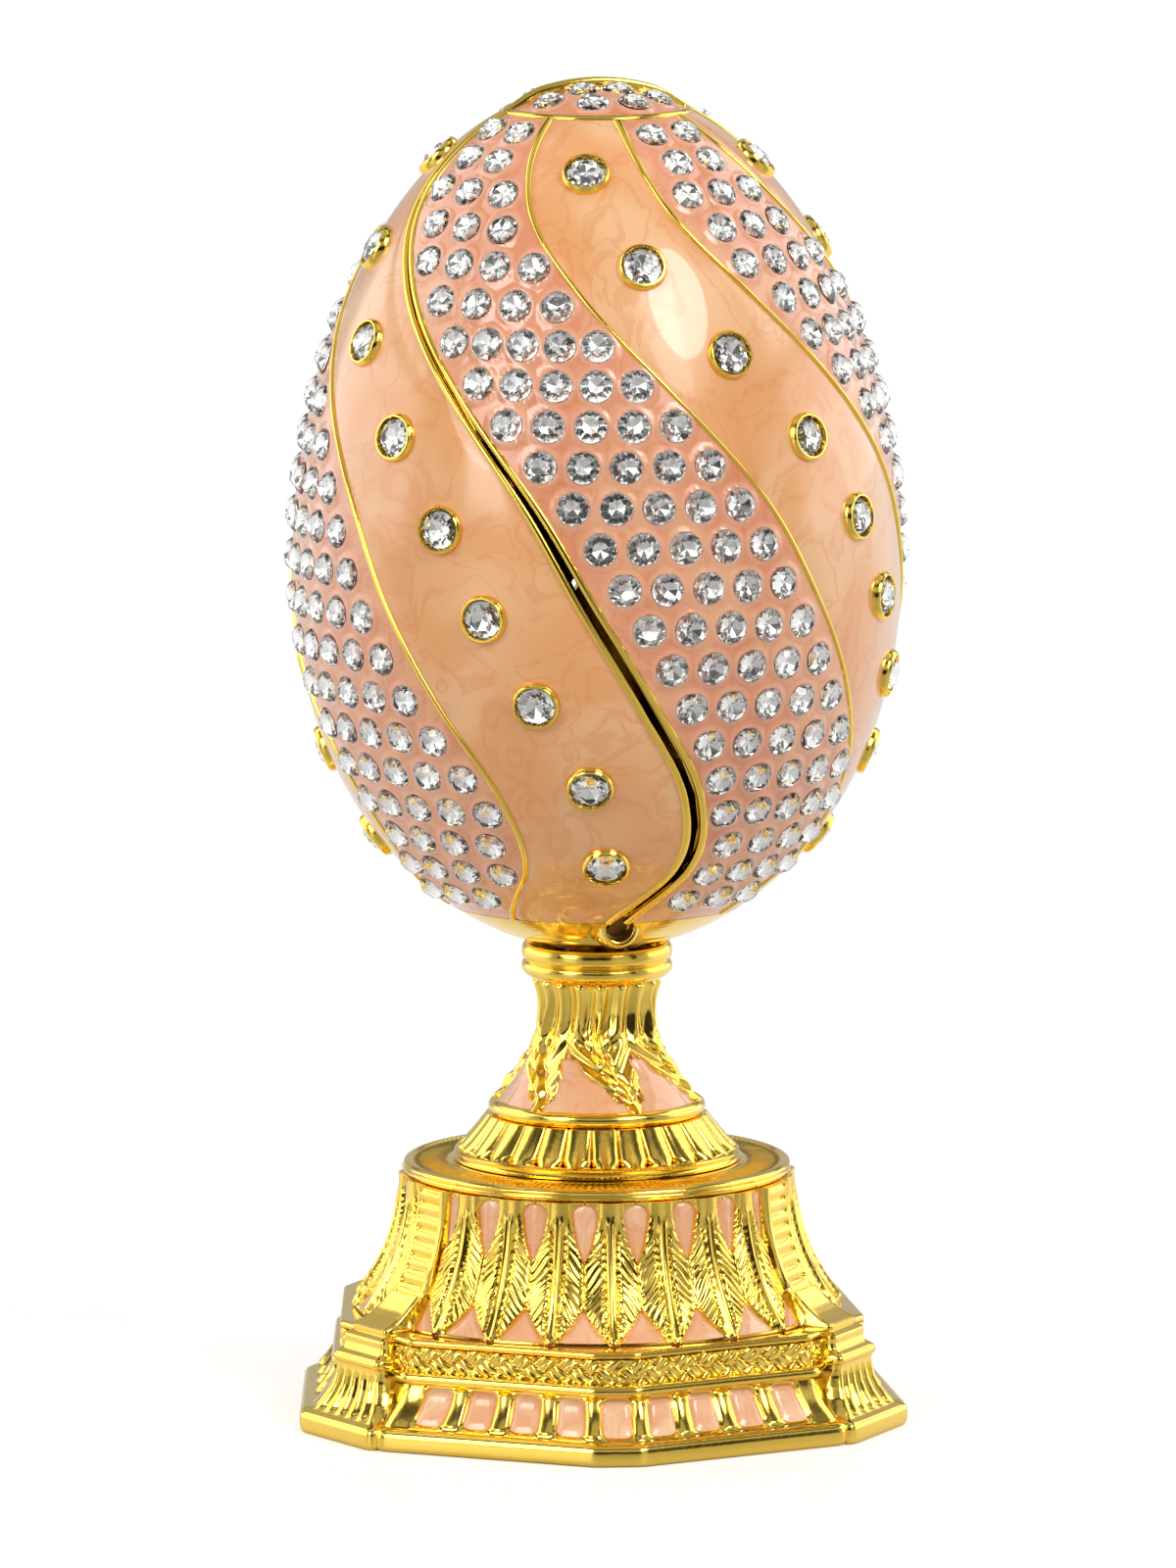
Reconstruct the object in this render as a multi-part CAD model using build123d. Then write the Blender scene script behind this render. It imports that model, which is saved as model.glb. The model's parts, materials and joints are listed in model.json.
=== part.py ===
from build123d import *
import os
from math import asin, atan2, ceil, cos, degrees, floor, hypot, radians, sin, sqrt

# Decorative jewelled egg on a gilt stand, in millimetres.
# +Z is up, the origin is the centre of the underside, and one panel of the stand faces -Y.
# An azimuth is measured from -Y towards +X. The egg stands at rest with its hinge turned a little.

# Egg
egg_radius = 36.7
egg_upper_height = 59.3
egg_lower_height = 45.3
enamel_thickness = 0.45
casting_thickness = 1.75
wire_rise = 0.25
egg_rest_turn = 5.5
overrun = 1.0

# Seam: shares of the egg's height, and its turn from the hinge there in degrees
seam_height_shares = (-0.03, 0.06, 0.125, 0.21, 0.32, 0.43, 0.56, 0.68, 0.79, 0.89, 1.03)
seam_turn_degrees = (-24.0, 0.0, 13.5, 12.0, 1.0, -10.0, -23.0, -41.0, -61.0, -79.0, -92.0)
seam_gap_foot = 1.1
seam_gap_head = 0.34
gap_narrows_share = 0.29
gap_narrow_share = 0.76
seam_rim_width = 1.1
field_angle = 47.5
repeat_angle = 90.0
wire_width = 0.8
inlay_clearance = 0.02
level_angle = 6.5
skirt_level_angle = 1.5
slope_step = 0.5
skirt_rise = 2.4
sector_inner_radius = 3.0

# Gold cap round the bottom of the egg, and round stone cap at its top
bottom_cap_height = 5.7
top_cap_radius = 11.4
top_ring_width = 0.9
cap_rim_width = 0.6
cap_rim_rise = 1.1

# Stones
small_stone_radius = 1.95
small_stone_height = 1.1
small_stone_pitch = 5.1
small_stone_closest_pitch = 4.15
small_stone_margin = 2.5
small_stone_clearance = 0.15
stone_row_pitch = 4.84
stone_first_row_way = 15.2
stone_last_row_rise = 2.6
walk_step = 0.05
large_stone_radius = 2.3
large_stone_height = 1.25
large_stone_count = 9
large_stone_top_drop = 8.6
large_stone_bottom_rise = 14.0
stone_girdle_share = 0.25
stone_crown_angle = 40.0
collet_wall = 0.35
collet_height = 0.75
collet_clearance = 0.02
cap_stone_along = (6.8, 2.1, -2.9, 2.3, -1.9, -6.5)
cap_stone_off = (4.1, 7.5, 7.4, 2.95, 3.2, 4.1)

# Egg hinge
hinge_height = 4.9
hinge_ball_share = 0.765
hinge_ball_clearance = 0.3
pin_radius = 1.4
pin_clearance = 0.05
pin_inner_end_share = 0.434
pin_outer_end_share = 0.807
pin_hole_radius = 1.66
ear_face_share = 0.6535
lug_clearance = 0.1
inner_lug_thickness = 1.4
inner_lug_radius = 3.0
arm_reach_share = 0.904
arm_drop = 1.6
arm_rise = 2.2
outer_lug_radius = 3.3
outer_lug_end_share = 0.988
lug_slit = 0.5
carrier_well_share = 0.4216
floor_plate_share = 0.65

# Plinth
slab_height = 2.8
window_tier_height = 4.8
lower_bead_height = 1.5
braid_height = 3.0
upper_bead_height = 0.9
drum_height = 16.4
rim_height = 1.6
plinth_nose_reach = 38.3
plinth_nose_half_width = 2.9
plinth_corner_reach = 37.3
plinth_corner_half_width = 8.8
slab_edge_share = 0.7
slab_top_share = 0.985
window_foot_share = 0.955
window_head_share = 0.872
lower_bead_share = 0.888
braid_share = 0.862
upper_bead_share = 0.852
panel_count = 3

# Collar, stem and cone
cone_step_height = 1.4
cone_step_radius = 17.5
cone_height = 4.1
cone_foot_radius = 16.6
cone_head_radius = 13.5
gadroon_count = 28
gadroon_depth = 0.8
bead_ring_height = 1.9
bead_ring_radius = 13.2
stem_height = 14.9
stem_foot_radius = 11.8
stem_calf_radius = 8.4
stem_calf_height = 5.0
stem_waist_radius = 6.35
stem_waist_height = 10.6
stem_head_radius = 7.3
collar_height = 4.2
collar_radius = 9.15
collar_groove_radius = 8.8
collar_groove_width = 0.3
collar_cup_radius = 8.4
collar_cup_depth = 2.6
egg_seat_depth = 0.8

# Heights that follow from the stack
braid_foot_z = slab_height + window_tier_height + lower_bead_height
drum_foot_z = braid_foot_z + braid_height + upper_bead_height
rim_foot_z = drum_foot_z + drum_height
plinth_top_z = rim_foot_z + rim_height
cone_foot_z = plinth_top_z + cone_step_height
bead_ring_z = cone_foot_z + cone_height
stem_foot_z = bead_ring_z + bead_ring_height
collar_foot_z = stem_foot_z + stem_height
collar_top_z = collar_foot_z + collar_height
cup_floor_z = collar_top_z - collar_cup_depth
egg_bottom_z = collar_top_z - egg_seat_depth
egg_widest_z = egg_bottom_z + egg_lower_height
egg_height = egg_lower_height + egg_upper_height
egg_top_z = egg_bottom_z + egg_height
hinge_z = egg_bottom_z + hinge_height
bottom_cap_z = egg_bottom_z + bottom_cap_height
top_cap_z = egg_widest_z + egg_upper_height * sqrt(1.0 - (top_cap_radius / egg_radius) ** 2)
hinge_reach = egg_radius * sqrt(1.0 - (1.0 - hinge_height / egg_lower_height) ** 2)
hinge_ball_radius = hinge_reach * hinge_ball_share
pin_inner_end = hinge_reach * pin_inner_end_share
pin_outer_end = hinge_reach * pin_outer_end_share
arm_reach = hinge_reach * arm_reach_share
outer_lug_end = hinge_reach * outer_lug_end_share
ear_face = hinge_reach * ear_face_share
carrier_well_radius = hinge_reach * carrier_well_share
floor_plate_radius = hinge_reach * floor_plate_share
ear_inner_lug_face = ear_face + lug_clearance
outer_lug_face = ear_inner_lug_face + inner_lug_thickness + lug_clearance

# Spindle and the tube that clamps the stand
spindle_radius = 1.6
spindle_clearance = 0.05
tube_radius = 3.0
tube_bore_radius = 2.2
tube_flange_radius = 5.2
tube_flange_height = 0.9
tube_end_length = 0.6
nut_radius = 5.2
nut_sides = 6
nut_height = 2.4
bush_flange_radius = 3.8
bush_flange_height = 0.5
bush_length = 5.0
thrust_clearance = 0.1

# Carrier cup in the bottom of the egg
carrier_hub_radius = 3.4
carrier_rise = 2.6
carrier_well_depth = 4.6
carrier_web = 1.0
carrier_screw_radius = 1.0
carrier_screw_head_radius = 2.3
carrier_screw_head_height = 1.3
carrier_screw_length = 5.0
floor_plate_thickness = 1.0
floor_bead_radius = 0.5

# Plinth inside
plinth_wall = 2.2
plinth_ceiling_thickness = 3.6
cavity_radius = 26.5
cavity_foot_z = 5.8
recess_radius = 28.0

# Drum ornament
drum_foot_radius = 29.2
drum_middle_radius = 24.6
drum_middle_height = 8.0
drum_head_radius = 23.2
rim_radius = 23.5
drum_division = 15.0
leaf_rise = 0.8
cell_rise = 0.3
strap_rise = 1.3
strap_half_width = 3.1
leaf_half_width = 3.3
leaf_top_half_width = 1.6
leaf_shoulder_share = 0.50
leaf_waist_share = 0.24
leaf_waist_width_share = 0.95
leaf_tip_clearance = 0.1

# Pilasters at the three corners
slab_block_reach = 38.3
slab_block_half_width = 8.1
flare_foot_reach = 37.4
flare_foot_half_width = 7.4
flare_head_reach = 34.9
flare_head_half_width = 4.9
upper_block_reach = 33.9
upper_block_half_width = 4.4
apron_reach = 31.8
apron_half_width = 3.6
apron_height = 2.2

# Windows
window_width = 3.9
window_height = 5.0
window_pitch = 5.9
window_depth = 0.8
window_glaze = 0.5
windows_per_side = 4

# Stem ornament
stem_leaf_count = 6
stem_leaf_rise = 0.7
stem_cell_rise = 0.3
stem_leaf_half_width = 3.6
stem_leaf_top_half_width = 1.3
stem_leaf_lean_reach = 1.2
stem_leaf_shoulder_share = 0.30
stem_leaf_edge_share = 0.04

# Music movement
plate_z = 8.0
plate_thickness = 1.5
plate_radius = 22.9
boss_radius = 2.2
boss_circle_radius = 19.9
boss_azimuths = (80.0, 180.0, 280.0)
screw_radius = 1.0
screw_head_radius = 1.8
screw_head_height = 1.1
screw_grip = 5.0
crown_radius = 10.5
crown_thickness = 1.4
crown_lift = 1.1
barrel_radius = 7.0
barrel_height = 8.4
barrel_wall = 0.8
barrel_core_radius = 3.0
spindle_seat_depth = 3.0
spring_strip = 0.35
spring_turn_gap = 0.3
spring_end_clearance = 0.3
pinion_radius = 2.0
mesh_clearance = 0.15
pinion_start = 8.2
pinion_end = 10.4
post_thickness = 0.8
inner_post_start = 10.7
cylinder_start = 11.9
cylinder_end = 20.9
cylinder_radius = 4.2
cylinder_arbor_radius = 0.8
outer_post_start = 21.2
arbor_overhang = 0.3
post_half_width = 2.4
post_head_rise = 1.8
comb_gap = 0.3
comb_width = 6.6
comb_thickness = 0.8
comb_teeth = 12
comb_slot_width = 0.25
comb_slot_length = 3.4
comb_base_width = 2.9
comb_screw_inset = 1.4
comb_screw_radius = 0.5
comb_screw_head_radius = 1.0
governor_width = 7.0
governor_length = 7.2
governor_height = 7.4
governor_gap = 2.0

# Winding key, bottom plate and felt
key_floor_clearance = 0.8
key_hub_radius = 2.6
key_hub_height = 3.2
key_wing_length = 9.0
key_wing_thickness = 1.5
key_wing_height = 2.2
arbor_radius = 1.5
arbor_clearance = 0.05
arbor_seat_depth = 4.0
bottom_plate_thickness = 1.2
bottom_plate_gap = 0.2
bottom_hole_radius = 3.6
bottom_screw_circle = 24.9
bottom_boss_radius = 2.0
bottom_boss_height = 5.0
bottom_screw_length = 4.0
bottom_screw_radius = 0.9
bottom_screw_head_radius = 1.7
bottom_screw_head_height = 0.9
felt_inner_radius = 29.4
felt_outer_radius = 33.0
felt_thickness = 0.6

plate_top_z = plate_z + plate_thickness
crown_foot_z = plate_top_z + crown_lift
crown_top_z = crown_foot_z + crown_thickness
barrel_top_z = crown_top_z + barrel_height
cylinder_z = crown_top_z + mesh_clearance + pinion_radius
ceiling_z = plinth_top_z - plinth_ceiling_thickness
tube_foot_z = ceiling_z - nut_height - tube_end_length
bottom_plate_z = cavity_foot_z - bottom_plate_thickness
well_floor_z = hinge_z + carrier_rise - carrier_well_depth
spindle_top_z = well_floor_z - carrier_web


def turned(shape, azimuth):
    """Turn a shape about the upright axis to an azimuth."""
    return Rot(0, 0, azimuth) * shape


def ring_of(shape, count, start=0.0):
    """Copies of a shape at even azimuths."""
    return [turned(shape, start + step * 360.0 / count) for step in range(count)]


def spun(*points):
    """Solid of revolution of a straight-sided outline given as (radius, height)."""
    return revolve(Plane.XZ * make_face(Polyline(*points, close=True)), Axis.Z)


def post(radius, foot, head):
    """Upright round bar from one height to another."""
    return Pos(0, 0, foot) * extrude(Circle(radius), head - foot)


def tube(outer, inner, foot, head):
    """Upright round tube from one height to another."""
    return Pos(0, 0, foot) * extrude(Circle(outer) - Circle(inner), head - foot)


def bar_along_front(radius, near, far, height):
    """Round bar along the -Y axis, between two distances from the upright axis."""
    plane = Plane((0, -near, height), x_dir=(1, 0, 0), z_dir=(0, -1, 0))
    return extrude(plane * Circle(radius), far - near)


def block(x_from, x_to, y_from, y_to, z_from, z_to):
    """Square block between two corners."""
    size = (x_to - x_from, y_to - y_from, z_to - z_from)
    centre = ((x_from + x_to) / 2, (y_from + y_to) / 2, (z_from + z_to) / 2)
    return Pos(*centre) * Box(*size)


def solids_of(*shapes):
    """One compound of all the solids in the shapes."""
    found = []
    for shape in shapes:
        found.extend(shape.solids())
    return Compound(children=found)


def save(name, *shapes, moved=None):
    """Write one named sub-part, placed where its group stands."""
    whole = solids_of(*shapes)
    if moved is not None:
        whole = moved * whole
    export_step(whole, os.path.join("parts", name + ".step"))


def at_azimuth(azimuth, reach, sideways=0.0):
    """Flat point at a reach and a sideways distance from an azimuth."""
    angle = radians(azimuth)
    return (reach * sin(angle) + sideways * cos(angle), sideways * sin(angle) - reach * cos(angle))


def direction(azimuth):
    """Flat direction of an azimuth, one unit long."""
    return (sin(radians(azimuth)), -cos(radians(azimuth)))


# Egg


def reach_from_widest(height):
    """Height of the half ellipse that a height lies in."""
    return egg_upper_height if height > egg_widest_z else egg_lower_height


def egg_radius_at(height, inset=0.0):
    """Radius of the egg at a height, drawn in by an inset."""
    share = (height - egg_widest_z) / (reach_from_widest(height) - inset)
    return (egg_radius - inset) * sqrt(max(0.0, 1.0 - share**2))


def egg_height_at(radius):
    """Height on the upper half where the egg has a radius."""
    return egg_widest_z + egg_upper_height * sqrt(1.0 - (radius / egg_radius) ** 2)


def egg_solid(inset):
    """Egg as two half ellipses that meet at the widest ring, drawn in by an inset."""
    radius = egg_radius - inset
    upper = egg_upper_height - inset
    lower = egg_lower_height - inset
    centre = (0, egg_widest_z)
    outline = [
        EllipticalCenterArc(centre, radius, upper, start_angle=0, arc_size=90),
        Line((0, egg_widest_z + upper), (0, egg_widest_z - lower)),
        EllipticalCenterArc(centre, radius, lower, start_angle=270, arc_size=90),
    ]
    return revolve(Plane.XZ * make_face(Curve() + outline), Axis.Z)


def seam_turn_at(height):
    """Turn of the seam at a height, smoothed between the stations on each side."""
    share = (height - egg_bottom_z) / egg_height
    stations = list(zip(seam_height_shares, seam_turn_degrees))
    last = len(stations) - 1
    index = 0
    while index < last - 1 and share > stations[index + 1][0]:
        index += 1
    before, after = stations[index], stations[index + 1]
    earlier = stations[max(index - 1, 0)]
    later = stations[min(index + 2, last)]
    span = after[0] - before[0]
    slope_in = (after[1] - earlier[1]) / (after[0] - earlier[0]) * span
    slope_out = (later[1] - before[1]) / (later[0] - before[0]) * span
    t = (share - before[0]) / span
    return (
        (2 * t**3 - 3 * t**2 + 1) * before[1]
        + (t**3 - 2 * t**2 + t) * slope_in
        + (3 * t**2 - 2 * t**3) * after[1]
        + (t**3 - t**2) * slope_out
    )


def seam_gap_at(height):
    """Width of the seam's gap: wide low down, narrow at the top, smooth between two shares."""
    share = (height - egg_bottom_z) / egg_height
    t = min(1.0, max(0.0, (share - gap_narrows_share) / (gap_narrow_share - gap_narrows_share)))
    return seam_gap_foot + (seam_gap_head - seam_gap_foot) * (3 * t**2 - 2 * t**3)


def seam_slope_at(height):
    """How far the seam runs sideways for each unit up the egg's side."""
    above, below = height + slope_step, height - slope_step
    run = radians(seam_turn_at(above) - seam_turn_at(below)) * egg_radius_at(height)
    return run / hypot(above - below, egg_radius_at(above) - egg_radius_at(below))


def levels_between(foot, head, step_angle=level_angle):
    """Heights from a foot to a head, at even steps of the ellipse's angle."""
    start = asin((foot - egg_widest_z) / reach_from_widest(foot))
    end = asin((head - egg_widest_z) / reach_from_widest(head))
    count = ceil(abs(end - start) / radians(step_angle))
    heights = []
    for step in range(count + 1):
        angle = start + (end - start) * step / count
        reach = egg_upper_height if angle > 0 else egg_lower_height
        heights.append(egg_widest_z + reach * sin(angle))
    heights[0], heights[-1] = foot, head
    return heights


def carried_up_seam(section, foot, head, step_angle=level_angle):
    """Carry a section up the egg while it turns with the seam; section(height) gives its face."""
    return loft([Pos(0, 0, height) * Rot(0, 0, seam_turn_at(height)) * section(height)
                 for height in levels_between(foot, head, step_angle)], ruled=True)


def half_ring(outer, inner, offset):
    """Half of a flat ring on the right of the seam."""
    far, near = sqrt(outer**2 - offset**2), sqrt(inner**2 - offset**2)
    return make_face(Curve() + [
        ThreePointArc((offset, -far), (outer, 0), (offset, far)),
        Line((offset, far), (offset, near)),
        ThreePointArc((offset, near), (inner, 0), (offset, -near)),
        Line((offset, -near), (offset, -far)),
    ])


def ring_sector(outer, inner, start, end):
    """Part of a flat ring between two angles from the seam."""
    middle = (start + end) / 2
    return make_face(Curve() + [
        ThreePointArc(at_azimuth(start, outer), at_azimuth(middle, outer), at_azimuth(end, outer)),
        Line(at_azimuth(end, outer), at_azimuth(end, inner)),
        ThreePointArc(at_azimuth(end, inner), at_azimuth(middle, inner), at_azimuth(start, inner)),
        Line(at_azimuth(start, inner), at_azimuth(start, outer)),
    ])


def strip_section(outer, inner, angle, left, right):
    """Narrow bar across a ring, from a width left of an angle to a width right of it."""
    points = []
    for radius, sideways in ((outer, left), (outer, right), (inner, right), (inner, left)):
        points.append(at_azimuth(angle, sqrt(radius**2 - sideways**2), sideways))
    return make_face(Polyline(*points, close=True))


def wall_of_half(outer_inset, foot, head, step_angle=level_angle):
    """Wall of the right half between two heights."""
    def section(height):
        inner = max(egg_radius_at(height, enamel_thickness + casting_thickness), sector_inner_radius)
        return half_ring(egg_radius_at(height, outer_inset), inner, seam_gap_at(height) / 2)

    return carried_up_seam(section, foot, head, step_angle)


def rim_edge(height):
    """Distance from the seam to the far edge of its rim."""
    return seam_gap_at(height) / 2 + seam_rim_width


def wire_edge(height):
    """Distance from the middle of a wire to its edge, the same at each height."""
    return wire_width / 2


def enamel_strip(start, end, start_edge, end_edge):
    """Enamel of one band or field between two angles, clear of the metal at its edges."""
    def section(height):
        outer = egg_radius_at(height)
        inner = egg_radius_at(height, enamel_thickness - inlay_clearance)
        first = start + degrees(asin((start_edge(height) + inlay_clearance) / inner))
        last = end - degrees(asin((end_edge(height) + inlay_clearance) / inner))
        return ring_sector(outer, inner, first, last)

    return carried_up_seam(section, bottom_cap_z + inlay_clearance, top_cap_z - inlay_clearance)


def raised_strip(angle, left_edge, right_edge):
    """Gold wire or rim that stands above the enamel; the edges are functions of the height."""
    def section(height):
        outer = egg_radius_at(height) + wire_rise
        inner = egg_radius_at(height, enamel_thickness - inlay_clearance)
        return strip_section(outer, inner, angle, left_edge(height), right_edge(height))

    return carried_up_seam(section, bottom_cap_z + inlay_clearance, top_cap_z - inlay_clearance)


def cap_slice(shape, near, far):
    """Part of something on the round top cap, between two distances beside the straight cut."""
    cutter = block(near, far, -egg_radius, egg_radius, top_cap_z, egg_top_z + overrun)
    return shape & turned(cutter, seam_turn_at(top_cap_z))


def dome(outer_inset, inner_inset):
    """Skin of the round top cap between two insets."""
    slab = post(egg_radius, top_cap_z, egg_top_z + overrun)
    return (egg_solid(outer_inset) - egg_solid(inner_inset)) & slab


def knuckle(radius, near, far):
    """Round boss on the hinge axis at the front, trimmed to the egg's skin."""
    return bar_along_front(radius, near, far, hinge_z) & egg_solid(0)


def inner_lug():
    """Rear knuckle of the right half: a disc on the hinge axis with an arm out to the wall."""
    near, far = ear_inner_lug_face, ear_inner_lug_face + inner_lug_thickness
    disc = turned(bar_along_front(inner_lug_radius, near, far, hinge_z), 180.0)
    arm = block(0, arm_reach, near, far, hinge_z - arm_drop, hinge_z + arm_rise)
    return (disc + arm) & egg_solid(enamel_thickness)


def right_shell():
    """Casting of the right half: bottom cap, wall, top cap and hinge knuckles."""
    shell = wall_of_half(0, egg_bottom_z + skirt_rise, bottom_cap_z, skirt_level_angle)
    shell = shell + wall_of_half(enamel_thickness, bottom_cap_z, top_cap_z)
    shell = shell + cap_slice(dome(enamel_thickness, enamel_thickness + casting_thickness),
                              seam_gap_at(top_cap_z) / 2, egg_radius)
    ball = Pos(0, 0, hinge_z) * Sphere(hinge_ball_radius + hinge_ball_clearance)
    slot = bar_along_front(outer_lug_radius + lug_slit, outer_lug_face - lug_clearance / 2,
                           outer_lug_end + lug_clearance, hinge_z)
    shell = (shell - ball) - turned(slot, 180.0)
    shell = shell + knuckle(outer_lug_radius, outer_lug_face, outer_lug_end) + inner_lug()
    bore = bar_along_front(pin_radius + pin_clearance, 0, pin_outer_end, hinge_z)
    mouth = bar_along_front(pin_hole_radius, pin_outer_end, egg_radius, hinge_z)
    return shell.cut(bore, mouth, turned(bore, 180.0))


def rim_and_wires():
    """Gold rims beside the seam and over the cap, wires between bands and fields, and the cap's ring."""
    strips = [
        raised_strip(0, lambda height: seam_gap_at(height) / 2, rim_edge),
        raised_strip(180.0, lambda height: -rim_edge(height), lambda height: -seam_gap_at(height) / 2),
    ]
    for angle in (field_angle, repeat_angle, repeat_angle + field_angle):
        strips.append(raised_strip(angle, lambda height: -wire_edge(height), wire_edge))
    near, depth = seam_gap_at(top_cap_z) / 2, enamel_thickness - inlay_clearance
    ring = tube(top_cap_radius, top_cap_radius - top_ring_width, top_cap_z, egg_top_z + overrun)
    disc = post(top_cap_radius, top_cap_z, egg_top_z + overrun)
    strips.append(cap_slice(dome(-wire_rise, depth) & ring, near, egg_radius)
                  + cap_slice(dome(-cap_rim_rise, depth) & disc, near, near + cap_rim_width))
    return strips


def field_enamel():
    """Enamel under the small stones, and inside the ring of the top cap."""
    disc = post(top_cap_radius - top_ring_width - inlay_clearance, top_cap_z, egg_top_z + overrun)
    near = seam_gap_at(top_cap_z) / 2 + cap_rim_width + inlay_clearance
    return [
        enamel_strip(0, field_angle, rim_edge, wire_edge),
        enamel_strip(repeat_angle, repeat_angle + field_angle, wire_edge, wire_edge),
        cap_slice(dome(0, enamel_thickness - inlay_clearance) & disc, near, egg_radius),
    ]


def band_enamel():
    """Swirled enamel under the large stones."""
    return [
        enamel_strip(field_angle, repeat_angle, wire_edge, wire_edge),
        enamel_strip(repeat_angle + field_angle, 2 * repeat_angle, wire_edge, rim_edge),
    ]


def stone(radius, height):
    """Round stone: a short girdle under a tapered crown, standing on its seat."""
    girdle = height * stone_girdle_share
    crown = extrude(Circle(radius), height - girdle, taper=stone_crown_angle)
    return extrude(Circle(radius), girdle) + Pos(0, 0, girdle) * crown


def seat_on_egg(azimuth, height):
    """Place on the egg's skin, with its Z axis pointing straight out."""
    radius = egg_radius_at(height)
    out, up = radius / egg_radius**2, (height - egg_widest_z) / reach_from_widest(height) ** 2
    along = direction(azimuth)
    place = (along[0] * radius, along[1] * radius, height)
    sideways = direction(azimuth + 90.0)
    return Plane(place, x_dir=(sideways[0], sideways[1], 0), z_dir=(along[0] * out, along[1] * out, up))


def band_seats():
    """Seats of the large stones down the middle of both bands of one half."""
    heights = levels_between(egg_bottom_z + large_stone_bottom_rise, egg_top_z - large_stone_top_drop)
    top, bottom = heights[-1], heights[0]
    step = (top - bottom) / (large_stone_count - 1)
    seats = []
    for start in (field_angle, repeat_angle + field_angle):
        middle = start + (repeat_angle - field_angle) / 2
        for index in range(large_stone_count):
            height = top - index * step
            seats.append(seat_on_egg(seam_turn_at(height) + middle, height))
    return seats


def row_heights():
    """Heights of the rows of small stones, at even steps down the egg's curved side from its top."""
    heights, walked, height = [], 0, egg_top_z
    while height > bottom_cap_z + stone_last_row_rise:
        lower = height - walk_step
        walked += hypot(walk_step, egg_radius_at(lower) - egg_radius_at(height))
        height = lower
        if walked >= stone_first_row_way + len(heights) * stone_row_pitch:
            heights.append(height)
    return heights


def field_seats():
    """Seats of the small stones in level rows across both fields of one half."""
    seats = []
    for height in row_heights():
        radius = egg_radius_at(height)
        arc = radians(field_angle) * radius
        steepness = hypot(1.0, seam_slope_at(height))
        reach = small_stone_radius + small_stone_clearance
        for start, edge in ((0.0, rim_edge), (repeat_angle, wire_edge)):
            first = (edge(height) + reach) * steepness
            room = arc - first - (wire_edge(height) + reach) * steepness
            count = floor((arc - 2 * small_stone_margin) / small_stone_pitch) + 1
            count = min(count, floor(room / small_stone_closest_pitch) + 1)
            pitch = min(small_stone_pitch, room / max(count - 1, 1))
            middle = first + room / 2
            for index in range(count):
                angle = start + degrees((middle + (index - (count - 1) / 2) * pitch) / radius)
                seats.append(seat_on_egg(seam_turn_at(height) + angle, height))
    return seats


def cap_seats():
    """Seats of the stones on the right half of the round top cap."""
    seats = []
    for along, off in zip(cap_stone_along, cap_stone_off):
        angle = seam_turn_at(top_cap_z) + degrees(atan2(off, along))
        seats.append(seat_on_egg(angle, egg_height_at(hypot(along, off))))
    return seats


def collet():
    """Gold collet round a large stone."""
    inner = large_stone_radius + collet_clearance
    return extrude(Circle(inner + collet_wall) - Circle(inner), collet_height)


def make_egg_halves():
    """Both halves: the left one is the right one turned half round."""
    small = stone(small_stone_radius, small_stone_height)
    large = stone(large_stone_radius, large_stone_height)
    halves = {
        "shell": [right_shell()],
        "rim_and_wires": rim_and_wires(),
        "field_enamel": field_enamel(),
        "band_enamel": band_enamel(),
        "stone_collets": [seat * collet() for seat in band_seats()],
        "band_stones": [seat * large for seat in band_seats()],
        "field_stones": [seat * small for seat in field_seats()],
        "cap_stones": [seat * small for seat in cap_seats()],
    }
    for name, shapes in halves.items():
        save("right_" + name, *shapes, moved=Rot(0, 0, egg_rest_turn))
        save("left_" + name, *shapes, moved=Rot(0, 0, egg_rest_turn + 180.0))


# Stand


def foot_plan(share):
    """Three-sided plan of the foot: blunt noses between the corner blocks, drawn in by a share."""
    points = []
    for panel in range(panel_count):
        nose = panel * 360.0 / panel_count
        corner = nose + 180.0 / panel_count
        for azimuth, reach, half in (
            (nose, plinth_nose_reach, plinth_nose_half_width),
            (corner, plinth_corner_reach, plinth_corner_half_width),
        ):
            points.append(at_azimuth(azimuth, reach * share, -half * share))
            points.append(at_azimuth(azimuth, reach * share, half * share))
    return make_face(Polyline(*points, close=True))


def tier(foot_share, head_share, foot, head):
    """One storey of the foot between two heights."""
    return loft([Pos(0, 0, foot) * foot_plan(foot_share), Pos(0, 0, head) * foot_plan(head_share)],
                ruled=True)


def drum_solid(rise):
    """Concave drum, with its side moved out by a rise."""
    side = ThreePointArc(
        (drum_foot_radius + rise, drum_foot_z),
        (drum_middle_radius + rise, drum_foot_z + drum_middle_height),
        (drum_head_radius + rise, rim_foot_z),
    )
    rest = Polyline((drum_head_radius + rise, rim_foot_z), (0, rim_foot_z), (0, drum_foot_z),
                    (drum_foot_radius + rise, drum_foot_z))
    return revolve(Plane.XZ * make_face(Curve() + [side, rest]), Axis.Z)


def front_prism(outline, reach):
    """Outline drawn on the front, in (sideways, height), carried from the axis to a reach."""
    plane = Plane((0, 0, 0), x_dir=(1, 0, 0), z_dir=(0, -1, 0))
    return extrude(plane * outline, reach)


def leaf_prism():
    """Palm leaf of the drum: pointed at the foot, broad in the middle, a strap at the top."""
    foot = drum_foot_z + leaf_tip_clearance
    right = [
        (0, foot),
        (leaf_half_width * leaf_waist_width_share, foot + leaf_waist_share * drum_height),
        (leaf_half_width, foot + leaf_shoulder_share * drum_height),
        (leaf_top_half_width, rim_foot_z + overrun),
    ]
    left = [(-x, z) for x, z in reversed(right)]
    edges = [Spline(*right), Line(right[-1], left[0]), Spline(*left)]
    return front_prism(make_face(Curve() + edges), drum_foot_radius + strap_rise + overrun)


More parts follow.
